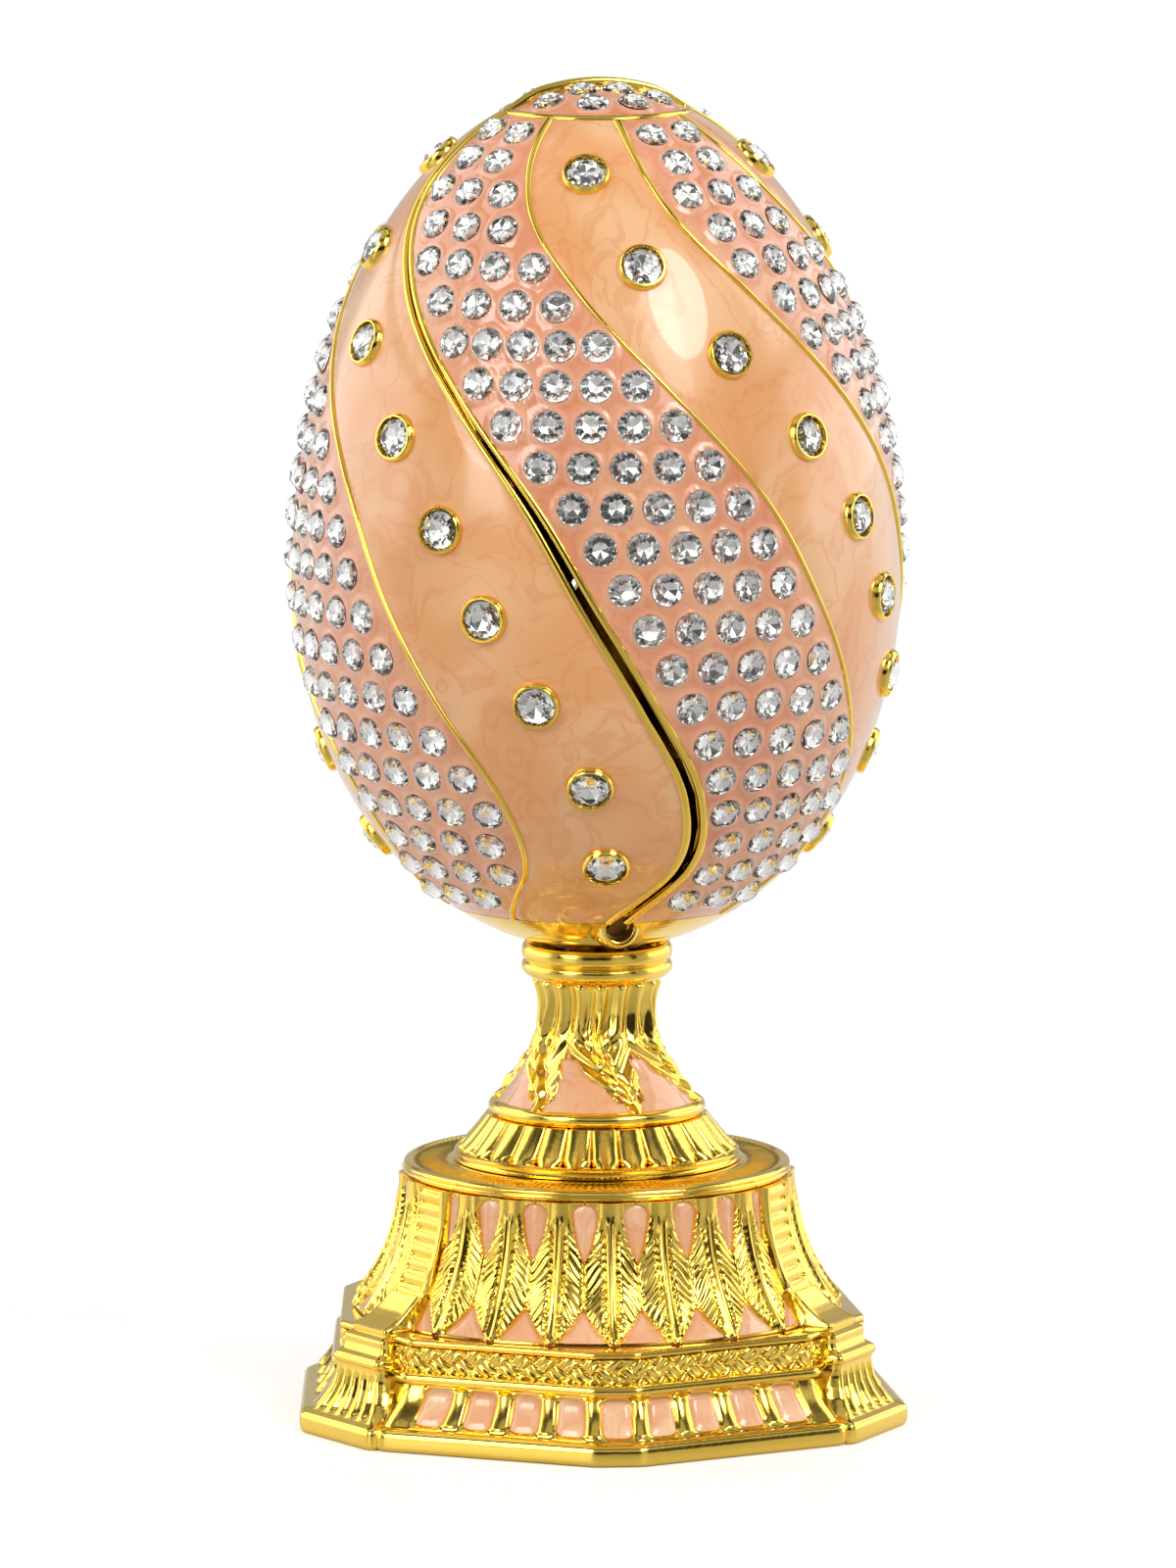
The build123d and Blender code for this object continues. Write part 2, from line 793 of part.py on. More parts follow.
def strap_prism(half_width, foot, head, reach):
    """Upright slab behind a corner strap or block."""
    return block(-half_width, half_width, -reach, 0, foot, head)


def drum_ornament():
    """Leaves and corner straps that stand out from the drum."""
    reach = drum_foot_radius + strap_rise + overrun
    leaf = (drum_solid(leaf_rise) - drum_solid(0)) & leaf_prism()
    strap = (drum_solid(strap_rise) - drum_solid(0)) & strap_prism(
        strap_half_width, drum_foot_z, rim_foot_z, reach)
    pieces = []
    per_panel = round(360.0 / panel_count / drum_division)
    for step in range(panel_count * per_panel):
        at_corner = step % per_panel == per_panel // 2
        pieces.append(turned(strap if at_corner else leaf, step * drum_division))
    return pieces


def drum_cells():
    """Enamel between the leaves of the drum, one wedge after another."""
    reach = drum_foot_radius + strap_rise + overrun
    skin = drum_solid(cell_rise) - drum_solid(0)
    wedge = Pos(0, 0, drum_foot_z) * extrude(
        make_face(Polyline((0, 0), at_azimuth(0, 2 * reach), at_azimuth(drum_division, 2 * reach),
                           close=True)), drum_height)
    part = skin & wedge
    leaf, corner = leaf_prism(), strap_prism(strap_half_width, drum_foot_z, rim_foot_z, reach)
    corner = corner + strap_prism(apron_half_width, drum_foot_z, drum_foot_z + apron_height, reach)
    between = part - leaf - turned(leaf, drum_division)
    before = part - leaf - turned(corner, drum_division)
    after = part - corner - turned(leaf, drum_division)
    per_panel = round(360.0 / panel_count / drum_division)
    cells = []
    for step in range(panel_count * per_panel):
        place = step % per_panel
        kind = between
        if place == per_panel // 2 - 1:
            kind = before
        if place == per_panel // 2:
            kind = after
        cells.append(turned(kind, step * drum_division))
    return cells


def pedestal_level(half_width, reach, height):
    """Flat rectangle from the axis out to a reach on the front."""
    return Pos(0, -reach / 2, height) * Rectangle(2 * half_width, reach)


def pilaster():
    """Corner pedestal of the foot: slab block, flared storey, upper block and the strap's apron."""
    base = strap_prism(slab_block_half_width, 0, slab_height, slab_block_reach)
    flare = loft([pedestal_level(flare_foot_half_width, flare_foot_reach, slab_height),
                  pedestal_level(flare_head_half_width, flare_head_reach, braid_foot_z)], ruled=True)
    upper = strap_prism(upper_block_half_width, braid_foot_z, drum_foot_z, upper_block_reach)
    apron = strap_prism(apron_half_width, drum_foot_z, drum_foot_z + apron_height, apron_reach)
    return base + flare + upper + apron


def window_planes():
    """Place of each window on the sloping storey, with Z pointing out."""
    planes = []
    middle_share = (window_foot_share + window_head_share) / 2
    height = slab_height + window_tier_height / 2
    for panel in range(panel_count):
        azimuth = panel * 360.0 / panel_count
        planes.append(window_plane(at_azimuth(azimuth, plinth_nose_reach * middle_share),
                                   direction(azimuth + 90.0), height))
        for side in (-1, 1):
            nose = at_azimuth(azimuth, plinth_nose_reach, side * plinth_nose_half_width)
            corner = at_azimuth(azimuth + side * 180.0 / panel_count, plinth_corner_reach,
                                -side * plinth_corner_half_width)
            along = Vector(corner[0] - nose[0], corner[1] - nose[1]).normalized()
            start = Vector(*nose) * middle_share
            first = window_pitch - plinth_nose_half_width * middle_share
            for index in range(windows_per_side):
                centre = start + along * (first + index * window_pitch)
                level = along * side
                planes.append(window_plane((centre.X, centre.Y), (level.X, level.Y), height))
    return planes


def window_plane(centre, along, height):
    """Plane on the sloping wall at a flat point, with its X axis along the wall."""
    out = Vector(along[1], -along[0])
    apothem = Vector(*centre).dot(out)
    middle_share = (window_foot_share + window_head_share) / 2
    inset = apothem / middle_share * (window_foot_share - window_head_share)
    normal = out * window_tier_height + Vector(0, 0, inset)
    return Plane((centre[0], centre[1], height), x_dir=(along[0], along[1], 0), z_dir=normal)


def window_pocket(lift, thickness):
    """Window-shaped block, from a depth below the wall upwards."""
    return Pos(0, 0, -lift) * extrude(Rectangle(window_width, window_height), thickness)


def plinth_cavity():
    """Room for the music movement, open at the underside."""
    return spun(
        (0, -overrun), (recess_radius, -overrun), (recess_radius, cavity_foot_z),
        (cavity_radius, cavity_foot_z), (cavity_radius, drum_foot_z),
        (drum_middle_radius - plinth_wall, drum_foot_z + drum_middle_height),
        (drum_head_radius - plinth_wall, ceiling_z), (0, ceiling_z),
    )


def make_plinth():
    """Foot, drum and rim as one hollow casting, with its enamel windows and cells."""
    edge_z = slab_height * slab_edge_share
    parts = [
        tier(1.0, 1.0, 0, edge_z),
        tier(1.0, slab_top_share, edge_z, slab_height),
        tier(window_foot_share, window_head_share, slab_height, slab_height + window_tier_height),
        tier(lower_bead_share, lower_bead_share, slab_height + window_tier_height, braid_foot_z),
        tier(braid_share, braid_share, braid_foot_z, braid_foot_z + braid_height),
        tier(upper_bead_share, upper_bead_share, braid_foot_z + braid_height, drum_foot_z),
        drum_solid(0),
        post(rim_radius, rim_foot_z, plinth_top_z),
    ]
    parts += drum_ornament()
    parts += ring_of(pilaster(), panel_count, 180.0 / panel_count)
    body = parts[0].fuse(*parts[1:])
    pocket = window_pocket(window_depth, window_depth + overrun)
    bosses = [turned(Pos(0, -boss_circle_radius, 0) * post(boss_radius, plate_top_z, plinth_top_z - overrun),
                     azimuth) for azimuth in boss_azimuths]
    low_boss = Pos(0, -bottom_screw_circle, 0) * post(
        bottom_boss_radius, cavity_foot_z, cavity_foot_z + bottom_boss_height)
    bosses += ring_of(low_boss, panel_count, 180.0 / panel_count)
    holes = [turned(Pos(0, -boss_circle_radius, 0) * post(
        screw_radius, plate_top_z - overrun, plate_top_z + screw_grip), azimuth) for azimuth in boss_azimuths]
    low_hole = Pos(0, -bottom_screw_circle, 0) * post(
        bottom_screw_radius, cavity_foot_z - overrun, cavity_foot_z + bottom_screw_length)
    holes += ring_of(low_hole, panel_count, 180.0 / panel_count)
    holes.append(post(tube_radius, ceiling_z - overrun, plinth_top_z + overrun))
    holes.append(tube(felt_outer_radius, felt_inner_radius, -overrun, felt_thickness))
    body = body.cut(plinth_cavity(), *[plane * pocket for plane in window_planes()])
    body = body.fuse(*bosses).cut(*holes)
    save("plinth_casting", body)
    save("plinth_window_enamel",
         *[plane * window_pocket(window_depth, window_glaze) for plane in window_planes()])
    save("drum_cell_enamel", *drum_cells())


def make_cone():
    """Gadrooned cone on its step."""
    def scalloped(radius, height):
        arcs = []
        for step in range(gadroon_count):
            start, middle, end = [(step + part) * 360.0 / gadroon_count for part in (0, 0.5, 1)]
            arcs.append(ThreePointArc(at_azimuth(start, radius - gadroon_depth),
                                      at_azimuth(middle, radius),
                                      at_azimuth(end, radius - gadroon_depth)))
        return Pos(0, 0, height) * make_face(Curve() + arcs)

    lobes = loft([scalloped(cone_foot_radius, cone_foot_z), scalloped(cone_head_radius, bead_ring_z)],
                 ruled=True)
    step = post(cone_step_radius, plinth_top_z, cone_foot_z)
    save("gadroon_cone", (lobes + step) - post(tube_radius, plinth_top_z - overrun, bead_ring_z + overrun))


def bead(radius, foot, head):
    """Ring with a half-round edge."""
    half = (head - foot) / 2
    return post(radius - half, foot, head) + Pos(0, 0, foot + half) * Torus(radius - half, half)


def stem_solid(rise):
    """Waisted stem, with its side moved out by a rise."""
    points = [
        (stem_foot_radius + rise, stem_foot_z),
        (stem_calf_radius + rise, stem_foot_z + stem_calf_height),
        (stem_waist_radius + rise, stem_foot_z + stem_waist_height),
        (stem_head_radius + rise, collar_foot_z),
    ]
    rest = Polyline(points[-1], (0, collar_foot_z), (0, stem_foot_z), points[0])
    return revolve(Plane.XZ * make_face(Curve() + [Spline(*points), rest]), Axis.Z)


def stem_leaf_prism():
    """Acanthus leaf of the stem, which leans as it rises."""
    foot = stem_foot_z + stem_height * stem_leaf_edge_share
    head = collar_foot_z - stem_height * stem_leaf_edge_share
    shoulder = foot + stem_height * stem_leaf_shoulder_share
    lean = stem_leaf_lean_reach
    outline = Polyline(
        (-stem_leaf_half_width, foot), (stem_leaf_half_width, foot),
        (stem_leaf_half_width, shoulder), (lean + stem_leaf_top_half_width, head),
        (lean - stem_leaf_top_half_width, head), (-stem_leaf_half_width, shoulder), close=True,
    )
    return front_prism(make_face(outline), stem_foot_radius + stem_leaf_rise + overrun)


def make_stem():
    """Bead ring, stem with leaves, enamel between them, and the collar."""
    bore = post(tube_radius, bead_ring_z - overrun, collar_top_z)
    save("stem_bead_ring", bead(bead_ring_radius, bead_ring_z, stem_foot_z) - bore)
    leaves = ring_of(stem_leaf_prism(), stem_leaf_count)
    raised = stem_solid(stem_leaf_rise) - stem_solid(0)
    core = stem_solid(0)
    save("stem_casting", core.fuse(*[raised & leaf for leaf in leaves]).cut(bore))
    save("stem_enamel", (stem_solid(stem_cell_rise) - stem_solid(0)).cut(*leaves))
    half = collar_height / 2 - collar_groove_width / 2
    ring = post(collar_groove_radius, collar_foot_z, collar_top_z - half)
    ring = ring + bead(collar_radius, collar_foot_z, collar_foot_z + half)
    ring = ring + bead(collar_radius, collar_top_z - half, collar_top_z)
    cup = post(collar_cup_radius, cup_floor_z, collar_top_z + overrun)
    save("collar_ring", ring - cup - bore)


def make_spindle():
    """Tube that clamps the stand, its nut and bushes, and the spindle inside."""
    tube_top_z = cup_floor_z + tube_flange_height
    bore = spindle_radius + spindle_clearance
    save("stem_tube", tube(tube_radius, tube_bore_radius, tube_foot_z, cup_floor_z)
         + tube(tube_flange_radius, tube_bore_radius, cup_floor_z, tube_top_z))
    nut = Pos(0, 0, ceiling_z - nut_height) * extrude(RegularPolygon(nut_radius, nut_sides), nut_height)
    save("stem_tube_nut", nut - post(tube_radius, ceiling_z - nut_height - overrun, ceiling_z + overrun))
    bush_top_z = tube_top_z + bush_flange_height
    save("upper_bush", tube(tube_bore_radius, bore, tube_top_z - bush_length, tube_top_z)
         + tube(bush_flange_radius, bore, tube_top_z, bush_top_z))
    save("lower_bush", tube(tube_bore_radius, bore, tube_foot_z, tube_foot_z + bush_length)
         + tube(bush_flange_radius, bore, tube_foot_z - bush_flange_height, tube_foot_z))
    shaft = post(spindle_radius, barrel_top_z - spindle_seat_depth, spindle_top_z)
    thread = post(carrier_screw_radius, spindle_top_z - carrier_screw_length, spindle_top_z + overrun)
    save("spindle", shaft - thread)


def make_carrier():
    """Cup that fills the bottom of the egg and holds the hinge pins."""
    top_z = hinge_z + carrier_rise
    hub_foot_z = cup_floor_z + tube_flange_height + bush_flange_height + thrust_clearance
    ball = Pos(0, 0, hinge_z) * Sphere(hinge_ball_radius)
    trim = block(-egg_radius, egg_radius, -ear_face, ear_face, egg_bottom_z - overrun, top_z)
    cup = ((egg_solid(0) & ball) & trim) + post(carrier_hub_radius, hub_foot_z, well_floor_z)
    well = post(carrier_well_radius, well_floor_z, top_z + overrun)
    pins = [bar_along_front(pin_radius, pin_inner_end, pin_outer_end, hinge_z)]
    pins.append(turned(pins[0], 180.0))
    cup = cup.cut(well, *pins).cut(
        post(spindle_radius, hub_foot_z - overrun, spindle_top_z),
        post(carrier_screw_radius, spindle_top_z - overrun, well_floor_z + overrun))
    screw = post(carrier_screw_radius, spindle_top_z - carrier_screw_length, well_floor_z) + post(
        carrier_screw_head_radius, well_floor_z, well_floor_z + carrier_screw_head_height)
    bead = Torus(floor_plate_radius - floor_bead_radius, floor_bead_radius)
    plate_top_z = top_z + floor_plate_thickness
    plate = post(floor_plate_radius, top_z, plate_top_z) + Pos(0, 0, plate_top_z) * bead
    place = Rot(0, 0, egg_rest_turn)
    save("egg_carrier", cup, moved=place)
    save("carrier_screw", screw, moved=place)
    save("egg_floor_plate", plate, moved=place)
    save("hinge_pins", *pins, moved=place)


# Music movement


def spring_strip_spiral(foot, head):
    """Mainspring strip: half rings whose centres step from side to side."""
    pitch = spring_strip + spring_turn_gap
    inner = barrel_core_radius + spring_end_clearance + spring_strip / 2
    room = barrel_radius - barrel_wall - spring_end_clearance - spring_strip / 2 - inner
    half_rings = []
    for step in range(floor(room / (pitch / 2))):
        start = inner + step * pitch / 2
        end = start + pitch / 2
        side = 1 if step % 2 == 0 else -1
        radius = (start + end) / 2
        centre = side * (start - end) / 2
        ring = Pos(centre, 0, 0) * tube(radius + spring_strip / 2, radius - spring_strip / 2, foot, head)
        y_from, y_to = (0, barrel_radius) if side > 0 else (-barrel_radius, 0)
        half_rings.append(ring & block(-barrel_radius, barrel_radius, y_from, y_to, foot, head))
    return half_rings[0].fuse(*half_rings[1:])


def make_barrel():
    """Spring barrel with its crown wheel, cover and mainspring."""
    cover_z = barrel_top_z - barrel_wall
    crown = post(crown_radius, crown_foot_z, crown_top_z)
    wall = tube(barrel_radius, barrel_radius - barrel_wall, crown_top_z, cover_z)
    core = post(barrel_core_radius, crown_top_z, cover_z)
    arbor_bore = post(arbor_radius + arbor_clearance, crown_foot_z - overrun, crown_foot_z + arbor_seat_depth)
    spindle_bore = post(spindle_radius, barrel_top_z - spindle_seat_depth, barrel_top_z + overrun)
    save("spring_barrel", (crown + wall + core) - arbor_bore - spindle_bore)
    save("barrel_cover", tube(barrel_radius, spindle_radius, cover_z, barrel_top_z))
    save("mainspring", spring_strip_spiral(crown_top_z, cover_z - spring_end_clearance))


def make_cylinder():
    """Pinned cylinder on its arbor, with the pinion that the crown wheel drives."""
    save("music_cylinder", bar_along_front(cylinder_radius, cylinder_start, cylinder_end, cylinder_z)
         - bar_along_front(cylinder_arbor_radius, 0, plate_radius, cylinder_z))
    arbor_end = outer_post_start + post_thickness + arbor_overhang
    arbor_start = pinion_start - arbor_overhang
    save("cylinder_arbor", bar_along_front(cylinder_arbor_radius, arbor_start, arbor_end, cylinder_z)
         + bar_along_front(pinion_radius, pinion_start, pinion_end, cylinder_z))


def comb_teeth_slots():
    """Slots between the teeth of the comb."""
    pitch = (cylinder_end - cylinder_start) / comb_teeth
    tips = cylinder_radius + comb_gap
    slots = []
    for index in range(1, comb_teeth):
        y = -cylinder_start - index * pitch
        slots.append(block(tips - overrun, tips + comb_slot_length, y - comb_slot_width / 2,
                           y + comb_slot_width / 2, crown_foot_z, barrel_top_z))
    return slots


def make_movement():
    """Movement plate and what stands still on it."""
    half = comb_thickness / 2
    thrust = tube(barrel_core_radius, arbor_radius + arbor_clearance, plate_top_z,
                  crown_foot_z - thrust_clearance)
    plate = post(plate_radius, plate_z, plate_top_z) - post(
        arbor_radius + arbor_clearance, plate_z - overrun, plate_top_z + overrun)
    screw_places = [turned(Pos(0, -boss_circle_radius, 0), azimuth) for azimuth in boss_azimuths]
    plate = plate.cut(*[place * post(screw_radius, plate_z - overrun, plate_top_z + overrun)
                        for place in screw_places])
    screw = post(screw_radius, plate_z, plate_top_z + screw_grip) + post(
        screw_head_radius, plate_z - screw_head_height, plate_z)
    save("movement_plate", plate + thrust)
    save("movement_screws", *[place * screw for place in screw_places])
    bore = bar_along_front(cylinder_arbor_radius + arbor_clearance, 0, plate_radius + overrun, cylinder_z)
    posts = [block(-post_half_width, post_half_width, -start - post_thickness, -start, plate_top_z,
                   cylinder_z + post_head_rise) - bore for start in (inner_post_start, outer_post_start)]
    save("bearing_posts", *posts)
    tips = cylinder_radius + comb_gap
    heel = tips + comb_width
    hole_places = [Pos(heel - comb_screw_inset, -y, 0) for y in
                   (cylinder_start + comb_screw_inset, cylinder_end - comb_screw_inset)]
    foot_z = plate_top_z + comb_screw_inset
    holes = [place * post(comb_screw_radius, foot_z, cylinder_z + overrun) for place in hole_places]
    comb = block(tips, heel, -cylinder_end, -cylinder_start, cylinder_z - half, cylinder_z + half)
    base = block(heel - comb_base_width, heel, -cylinder_end, -cylinder_start, plate_top_z, cylinder_z - half)
    save("music_comb", comb.cut(*holes, *comb_teeth_slots()))
    save("comb_base", base.cut(*holes))
    comb_screw = post(comb_screw_radius, foot_z, cylinder_z + half) + post(
        comb_screw_head_radius, cylinder_z + half, cylinder_z + half + comb_thickness)
    save("comb_screws", *[place * comb_screw for place in hole_places])
    near = -cylinder_radius - governor_gap
    save("governor_housing", block(near - governor_width, near, -cylinder_start - governor_length,
                                   -cylinder_start, plate_top_z, plate_top_z + governor_height))


def make_key():
    """Winding key under the plinth and the arbor that it turns."""
    key_top_z = key_floor_clearance + key_hub_height
    arbor = post(arbor_radius, key_floor_clearance, crown_foot_z + arbor_seat_depth)
    wings = block(-key_wing_length, key_wing_length, -key_wing_thickness / 2, key_wing_thickness / 2,
                  key_floor_clearance, key_floor_clearance + key_wing_height)
    hub = post(key_hub_radius, key_floor_clearance, key_top_z)
    save("winding_key", (hub + wings) - post(arbor_radius, 0, key_top_z + overrun))
    save("winding_arbor", arbor)


def make_bottom():
    """Bottom plate, its screws and the felt under the foot."""
    plate = post(recess_radius - bottom_plate_gap, bottom_plate_z, cavity_foot_z) - post(
        bottom_hole_radius, bottom_plate_z - overrun, cavity_foot_z + overrun)
    hole = Pos(0, -bottom_screw_circle, 0) * post(bottom_screw_radius, bottom_plate_z - overrun,
                                                  cavity_foot_z + overrun)
    screw = Pos(0, -bottom_screw_circle, 0) * (
        post(bottom_screw_radius, bottom_plate_z, cavity_foot_z + bottom_screw_length)
        + post(bottom_screw_head_radius, bottom_plate_z - bottom_screw_head_height, bottom_plate_z))
    start = 180.0 / panel_count
    save("bottom_plate", plate.cut(*ring_of(hole, panel_count, start)))
    save("bottom_plate_screws", *ring_of(screw, panel_count, start))
    save("felt_ring", tube(felt_outer_radius, felt_inner_radius, 0, felt_thickness))


def main():
    os.makedirs("parts", exist_ok=True)
    make_plinth()
    make_cone()
    make_stem()
    make_spindle()
    make_carrier()
    make_barrel()
    make_cylinder()
    make_movement()
    make_key()
    make_bottom()
    make_egg_halves()


main()
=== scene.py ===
# %% [markdown]
# # A jewelled egg on a gilt stand
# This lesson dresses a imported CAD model. The CAD gives the places and the moving bodies, and each
# cell below makes one kind of surface or finish for it. All shapes are worked out with numpy, in
# millimetres, and are put into meshes in metres at the very end.

# %% Load the frame
import json

import bpy
import numpy as np
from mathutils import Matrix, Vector


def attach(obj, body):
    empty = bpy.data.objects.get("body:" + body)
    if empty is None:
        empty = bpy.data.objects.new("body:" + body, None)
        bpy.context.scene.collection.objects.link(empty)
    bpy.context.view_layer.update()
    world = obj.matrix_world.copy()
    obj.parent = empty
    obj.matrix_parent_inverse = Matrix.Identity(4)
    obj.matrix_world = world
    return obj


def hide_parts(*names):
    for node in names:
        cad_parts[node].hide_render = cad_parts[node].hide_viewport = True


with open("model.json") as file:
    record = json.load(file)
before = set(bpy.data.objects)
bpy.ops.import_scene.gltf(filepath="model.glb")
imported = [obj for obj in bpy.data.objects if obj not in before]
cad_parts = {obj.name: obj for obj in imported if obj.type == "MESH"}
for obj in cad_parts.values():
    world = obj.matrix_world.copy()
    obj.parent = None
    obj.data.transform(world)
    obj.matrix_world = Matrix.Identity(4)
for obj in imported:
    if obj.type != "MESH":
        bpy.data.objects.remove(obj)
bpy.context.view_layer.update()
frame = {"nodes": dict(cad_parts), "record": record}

rng = np.random.default_rng(7)
MM = 0.001
# an edge bent by more degrees than this stays sharp
CREASE = 38.0

# %% [markdown]
# ## From points to a piece
# A grid of points needs one four-cornered face for each cell. Rows that run up the outside and
# columns that run round the axis from the front to the right give faces that look outwards. One
# helper makes the faces and another fills the mesh, so that each shape below is only a formula.

# %% Faces and meshes


def ring_faces(rows, columns, wrap=False):
    """Each cell of a grid becomes a face; the columns always close, and the rows close if they wrap."""
    index = np.arange(rows * columns).reshape(rows, columns)
    below = index if wrap else index[:-1]
    above = np.roll(index, -1, axis=0) if wrap else index[1:]
    corners = [below, np.roll(below, -1, axis=1), np.roll(above, -1, axis=1), above]
    return np.stack(corners, axis=-1).reshape(-1, 4)


def capped_faces(rows, columns):
    """A closed tube of faces with one many-sided face on its first row and one on its last."""
    first = np.arange(columns)[::-1][None, :]
    last = (rows - 1) * columns + np.arange(columns)[None, :]
    return [ring_faces(rows, columns), first, last]


def make_piece(name, points, faces, body, slot, finish, replaced=(), smooth=True,
               second=None, marks=None, nearness=None):
    """Put points and blocks of faces into a mesh that rides on a body; marked faces take the second
    finish."""
    blocks = faces if isinstance(faces, list) else [faces]
    corners = np.concatenate([block.ravel() for block in blocks]).astype(np.int32)
    sizes = np.concatenate([np.full(len(block), block.shape[1]) for block in blocks])
    starts = np.concatenate([[0], np.cumsum(sizes)[:-1]]).astype(np.int32)
    flat = (points.reshape(-1, 3) * MM).astype(np.float32)
    mesh = bpy.data.meshes.new(name)
    mesh.vertices.add(len(flat))
    mesh.vertices.foreach_set("co", flat.ravel())
    mesh.loops.add(len(corners))
    mesh.loops.foreach_set("vertex_index", corners)
    mesh.polygons.add(len(sizes))
    mesh.polygons.foreach_set("loop_start", starts)
    mesh.polygons.foreach_set("use_smooth", np.full(len(sizes), smooth))
    mesh.materials.append(finish)
    if second is not None:
        mesh.materials.append(second)
        mesh.polygons.foreach_set("material_index", marks.astype(np.int32))
    mesh.update(calc_edges=True)
    mesh.validate()
    if smooth:
        mesh.set_sharp_from_angle(angle=np.radians(CREASE))
    # the ring round each stone, where the enamel gets its painted highlight, goes into the mesh
    if nearness is not None:
        layer = mesh.attributes.new("stone_nearness", "FLOAT", "POINT")
        layer.data.foreach_set("value", nearness.astype(np.float32).ravel())
    piece = bpy.data.objects.new(name, mesh)
    bpy.context.scene.collection.objects.link(piece)
    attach(piece, body)
    if replaced:
        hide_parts(*replaced)
    print(f"{name}: {len(sizes)} faces")


def make_wrapped(name, points, slot, finish, *nodes):
    """Piece of the stand from a grid of points whose rows and columns both close."""
    faces = ring_faces(*points.shape[:2], wrap=True)
    make_piece(name, points, faces, "stand", slot, finish, replaced=nodes)


def smooth_step(low, high, value):
    """Rises from 0 to 1 between low and high: t squared times (3 - 2 t), with t the share of the way."""
    t = np.clip((value - low) / (high - low), 0.0, 1.0)
    return t * t * (3.0 - 2.0 * t)


def bump_at(centre, width, value):
    """A bell: e to the power of minus the squared distance from the centre, in widths."""
    return np.exp(-(((value - centre) / width) ** 2))


def arch(share):
    """Half circle: the root of 1 minus the squared share of the way from its middle to its end."""
    return np.sqrt(np.clip(1.0 - share**2, 0.0, 1.0))


def repeated(value, pitch):
    """Distance from the nearest of many evenly spaced lines, with its sign."""
    return (value + pitch / 2) % pitch - pitch / 2


def round_axis(radius, height, azimuth):
    """Point at a radius, a height and an azimuth in degrees, which starts at the front and grows to
    the right: x is radius times sine, y is minus radius times cosine."""
    angle = np.radians(azimuth)
    radius, height, angle = np.broadcast_arrays(radius, height, angle)
    return np.stack([radius * np.sin(angle), -radius * np.cos(angle), height], axis=-1)


def all_round(count):
    """One row of azimuths that go once round."""
    return np.linspace(0.0, 360.0, count, endpoint=False)[None, :]


def turned(points, degrees):
    """Points turned about the upright axis."""
    angle = np.radians(degrees)
    turn = np.array([[np.cos(angle), -np.sin(angle), 0], [np.sin(angle), np.cos(angle), 0], [0, 0, 1]])
    return points @ turn.T


# %% [markdown]
# ## Shader maths as expressions
# A material is a small sum over noise patterns. Wrapping a socket in a class lets such a sum be
# written as Python, with each operator adding its own Math node.

# %% A socket that can be used in sums


class Value:
    """A socket of a node tree; sums and products with it add Math nodes."""

    def __init__(self, tree, socket):
        self.tree, self.socket = tree, socket

    def _join(self, operation, first, second):
        node = self.tree.nodes.new("ShaderNodeMath")
        node.operation = operation
        for place, item in enumerate((first, second)):
            if isinstance(item, Value):
                self.tree.links.new(item.socket, node.inputs[place])
            else:
                node.inputs[place].default_value = item
        return Value(self.tree, node.outputs[0])

    def __add__(self, other):
        return self._join("ADD", self, other)

    __radd__ = __add__

    def __mul__(self, other):
        return self._join("MULTIPLY", self, other)

    __rmul__ = __mul__

    def __sub__(self, other):
        return self._join("SUBTRACT", self, other)

    def __rsub__(self, other):
        return self._join("SUBTRACT", other, self)


class Recipe:
    """The node tree of a material or a world, with one method that adds any node."""

    def __init__(self, owner):
        owner.use_nodes = True
        self.owner, self.tree = owner, owner.node_tree
        self.tree.nodes.clear()

    def node(self, kind, settings=(), inputs=(), output=0):
        """Add a node, set its settings, then give its sockets values or links; returns one output."""
        made = self.tree.nodes.new("ShaderNode" + kind)
        for key, value in dict(settings).items():
            setattr(made, key, value)
        for key, value in dict(inputs).items():
            if isinstance(value, Value):
                self.tree.links.new(value.socket, made.inputs[key])
            else:
                made.inputs[key].default_value = value
        return Value(self.tree, made.outputs[output]) if made.outputs else None

    def place(self):
        """Object coordinates, which are metres from the origin of the row."""
        return self.node("TexCoord", output="Object")

    def noise(self, scale, where=None, detail=2.0, distortion=0.0, output="Fac"):
        """Noise with a number of waves in a metre."""
        return self.node("TexNoise", inputs={
            "Vector": where or self.place(), "Scale": scale, "Detail": detail, "Distortion": distortion},
            output=output)

    def level(self, value, low, high):
        """0 below low, 1 above high and smooth between them."""
        return self.node("MapRange", {"interpolation_type": "SMOOTHSTEP"},
                         {"Value": value, "From Min": low, "From Max": high})

    def mix(self, share, first, second):
        """Colour between two colours."""
        return self.node("Mix", {"data_type": "RGBA"}, {0: share, 6: first, 7: second}, output=2)

    def away(self, value, centre):
        """Distance of a value from a centre, without its sign."""
        return self.node("Math", {"operation": "ABSOLUTE"}, {0: value - centre})

    def largest(self, first, *others):
        """Largest of several values."""
        for other in others:
            first = self.node("Math", {"operation": "MAXIMUM"}, {0: first, 1: other})
        return first

    def relief(self, height, distance, strength):
        """Normal that leans as a height map does; the distance is in metres."""
        return self.node("Bump", inputs={"Height": height, "Distance": distance, "Strength": strength})

    def finish(self, **sockets):
        """Principled surface; a socket's name is written with _ for a space."""
        named = {key.replace("_", " "): value for key, value in sockets.items()}
        surface = self.node("BsdfPrincipled", inputs=named)
        self.node("OutputMaterial", inputs={"Surface": surface})
        return self.owner


def colour(red, green, blue):
    """Colour as it shows on a screen, in 0 to 255, made linear by the usual curve of screens."""
    share = np.array([red, green, blue]) / 255.0
    linear = np.where(share <= 0.04045, share / 12.92, ((share + 0.055) / 1.055) ** 2.4)
    return (*[float(part) for part in linear], 1.0)


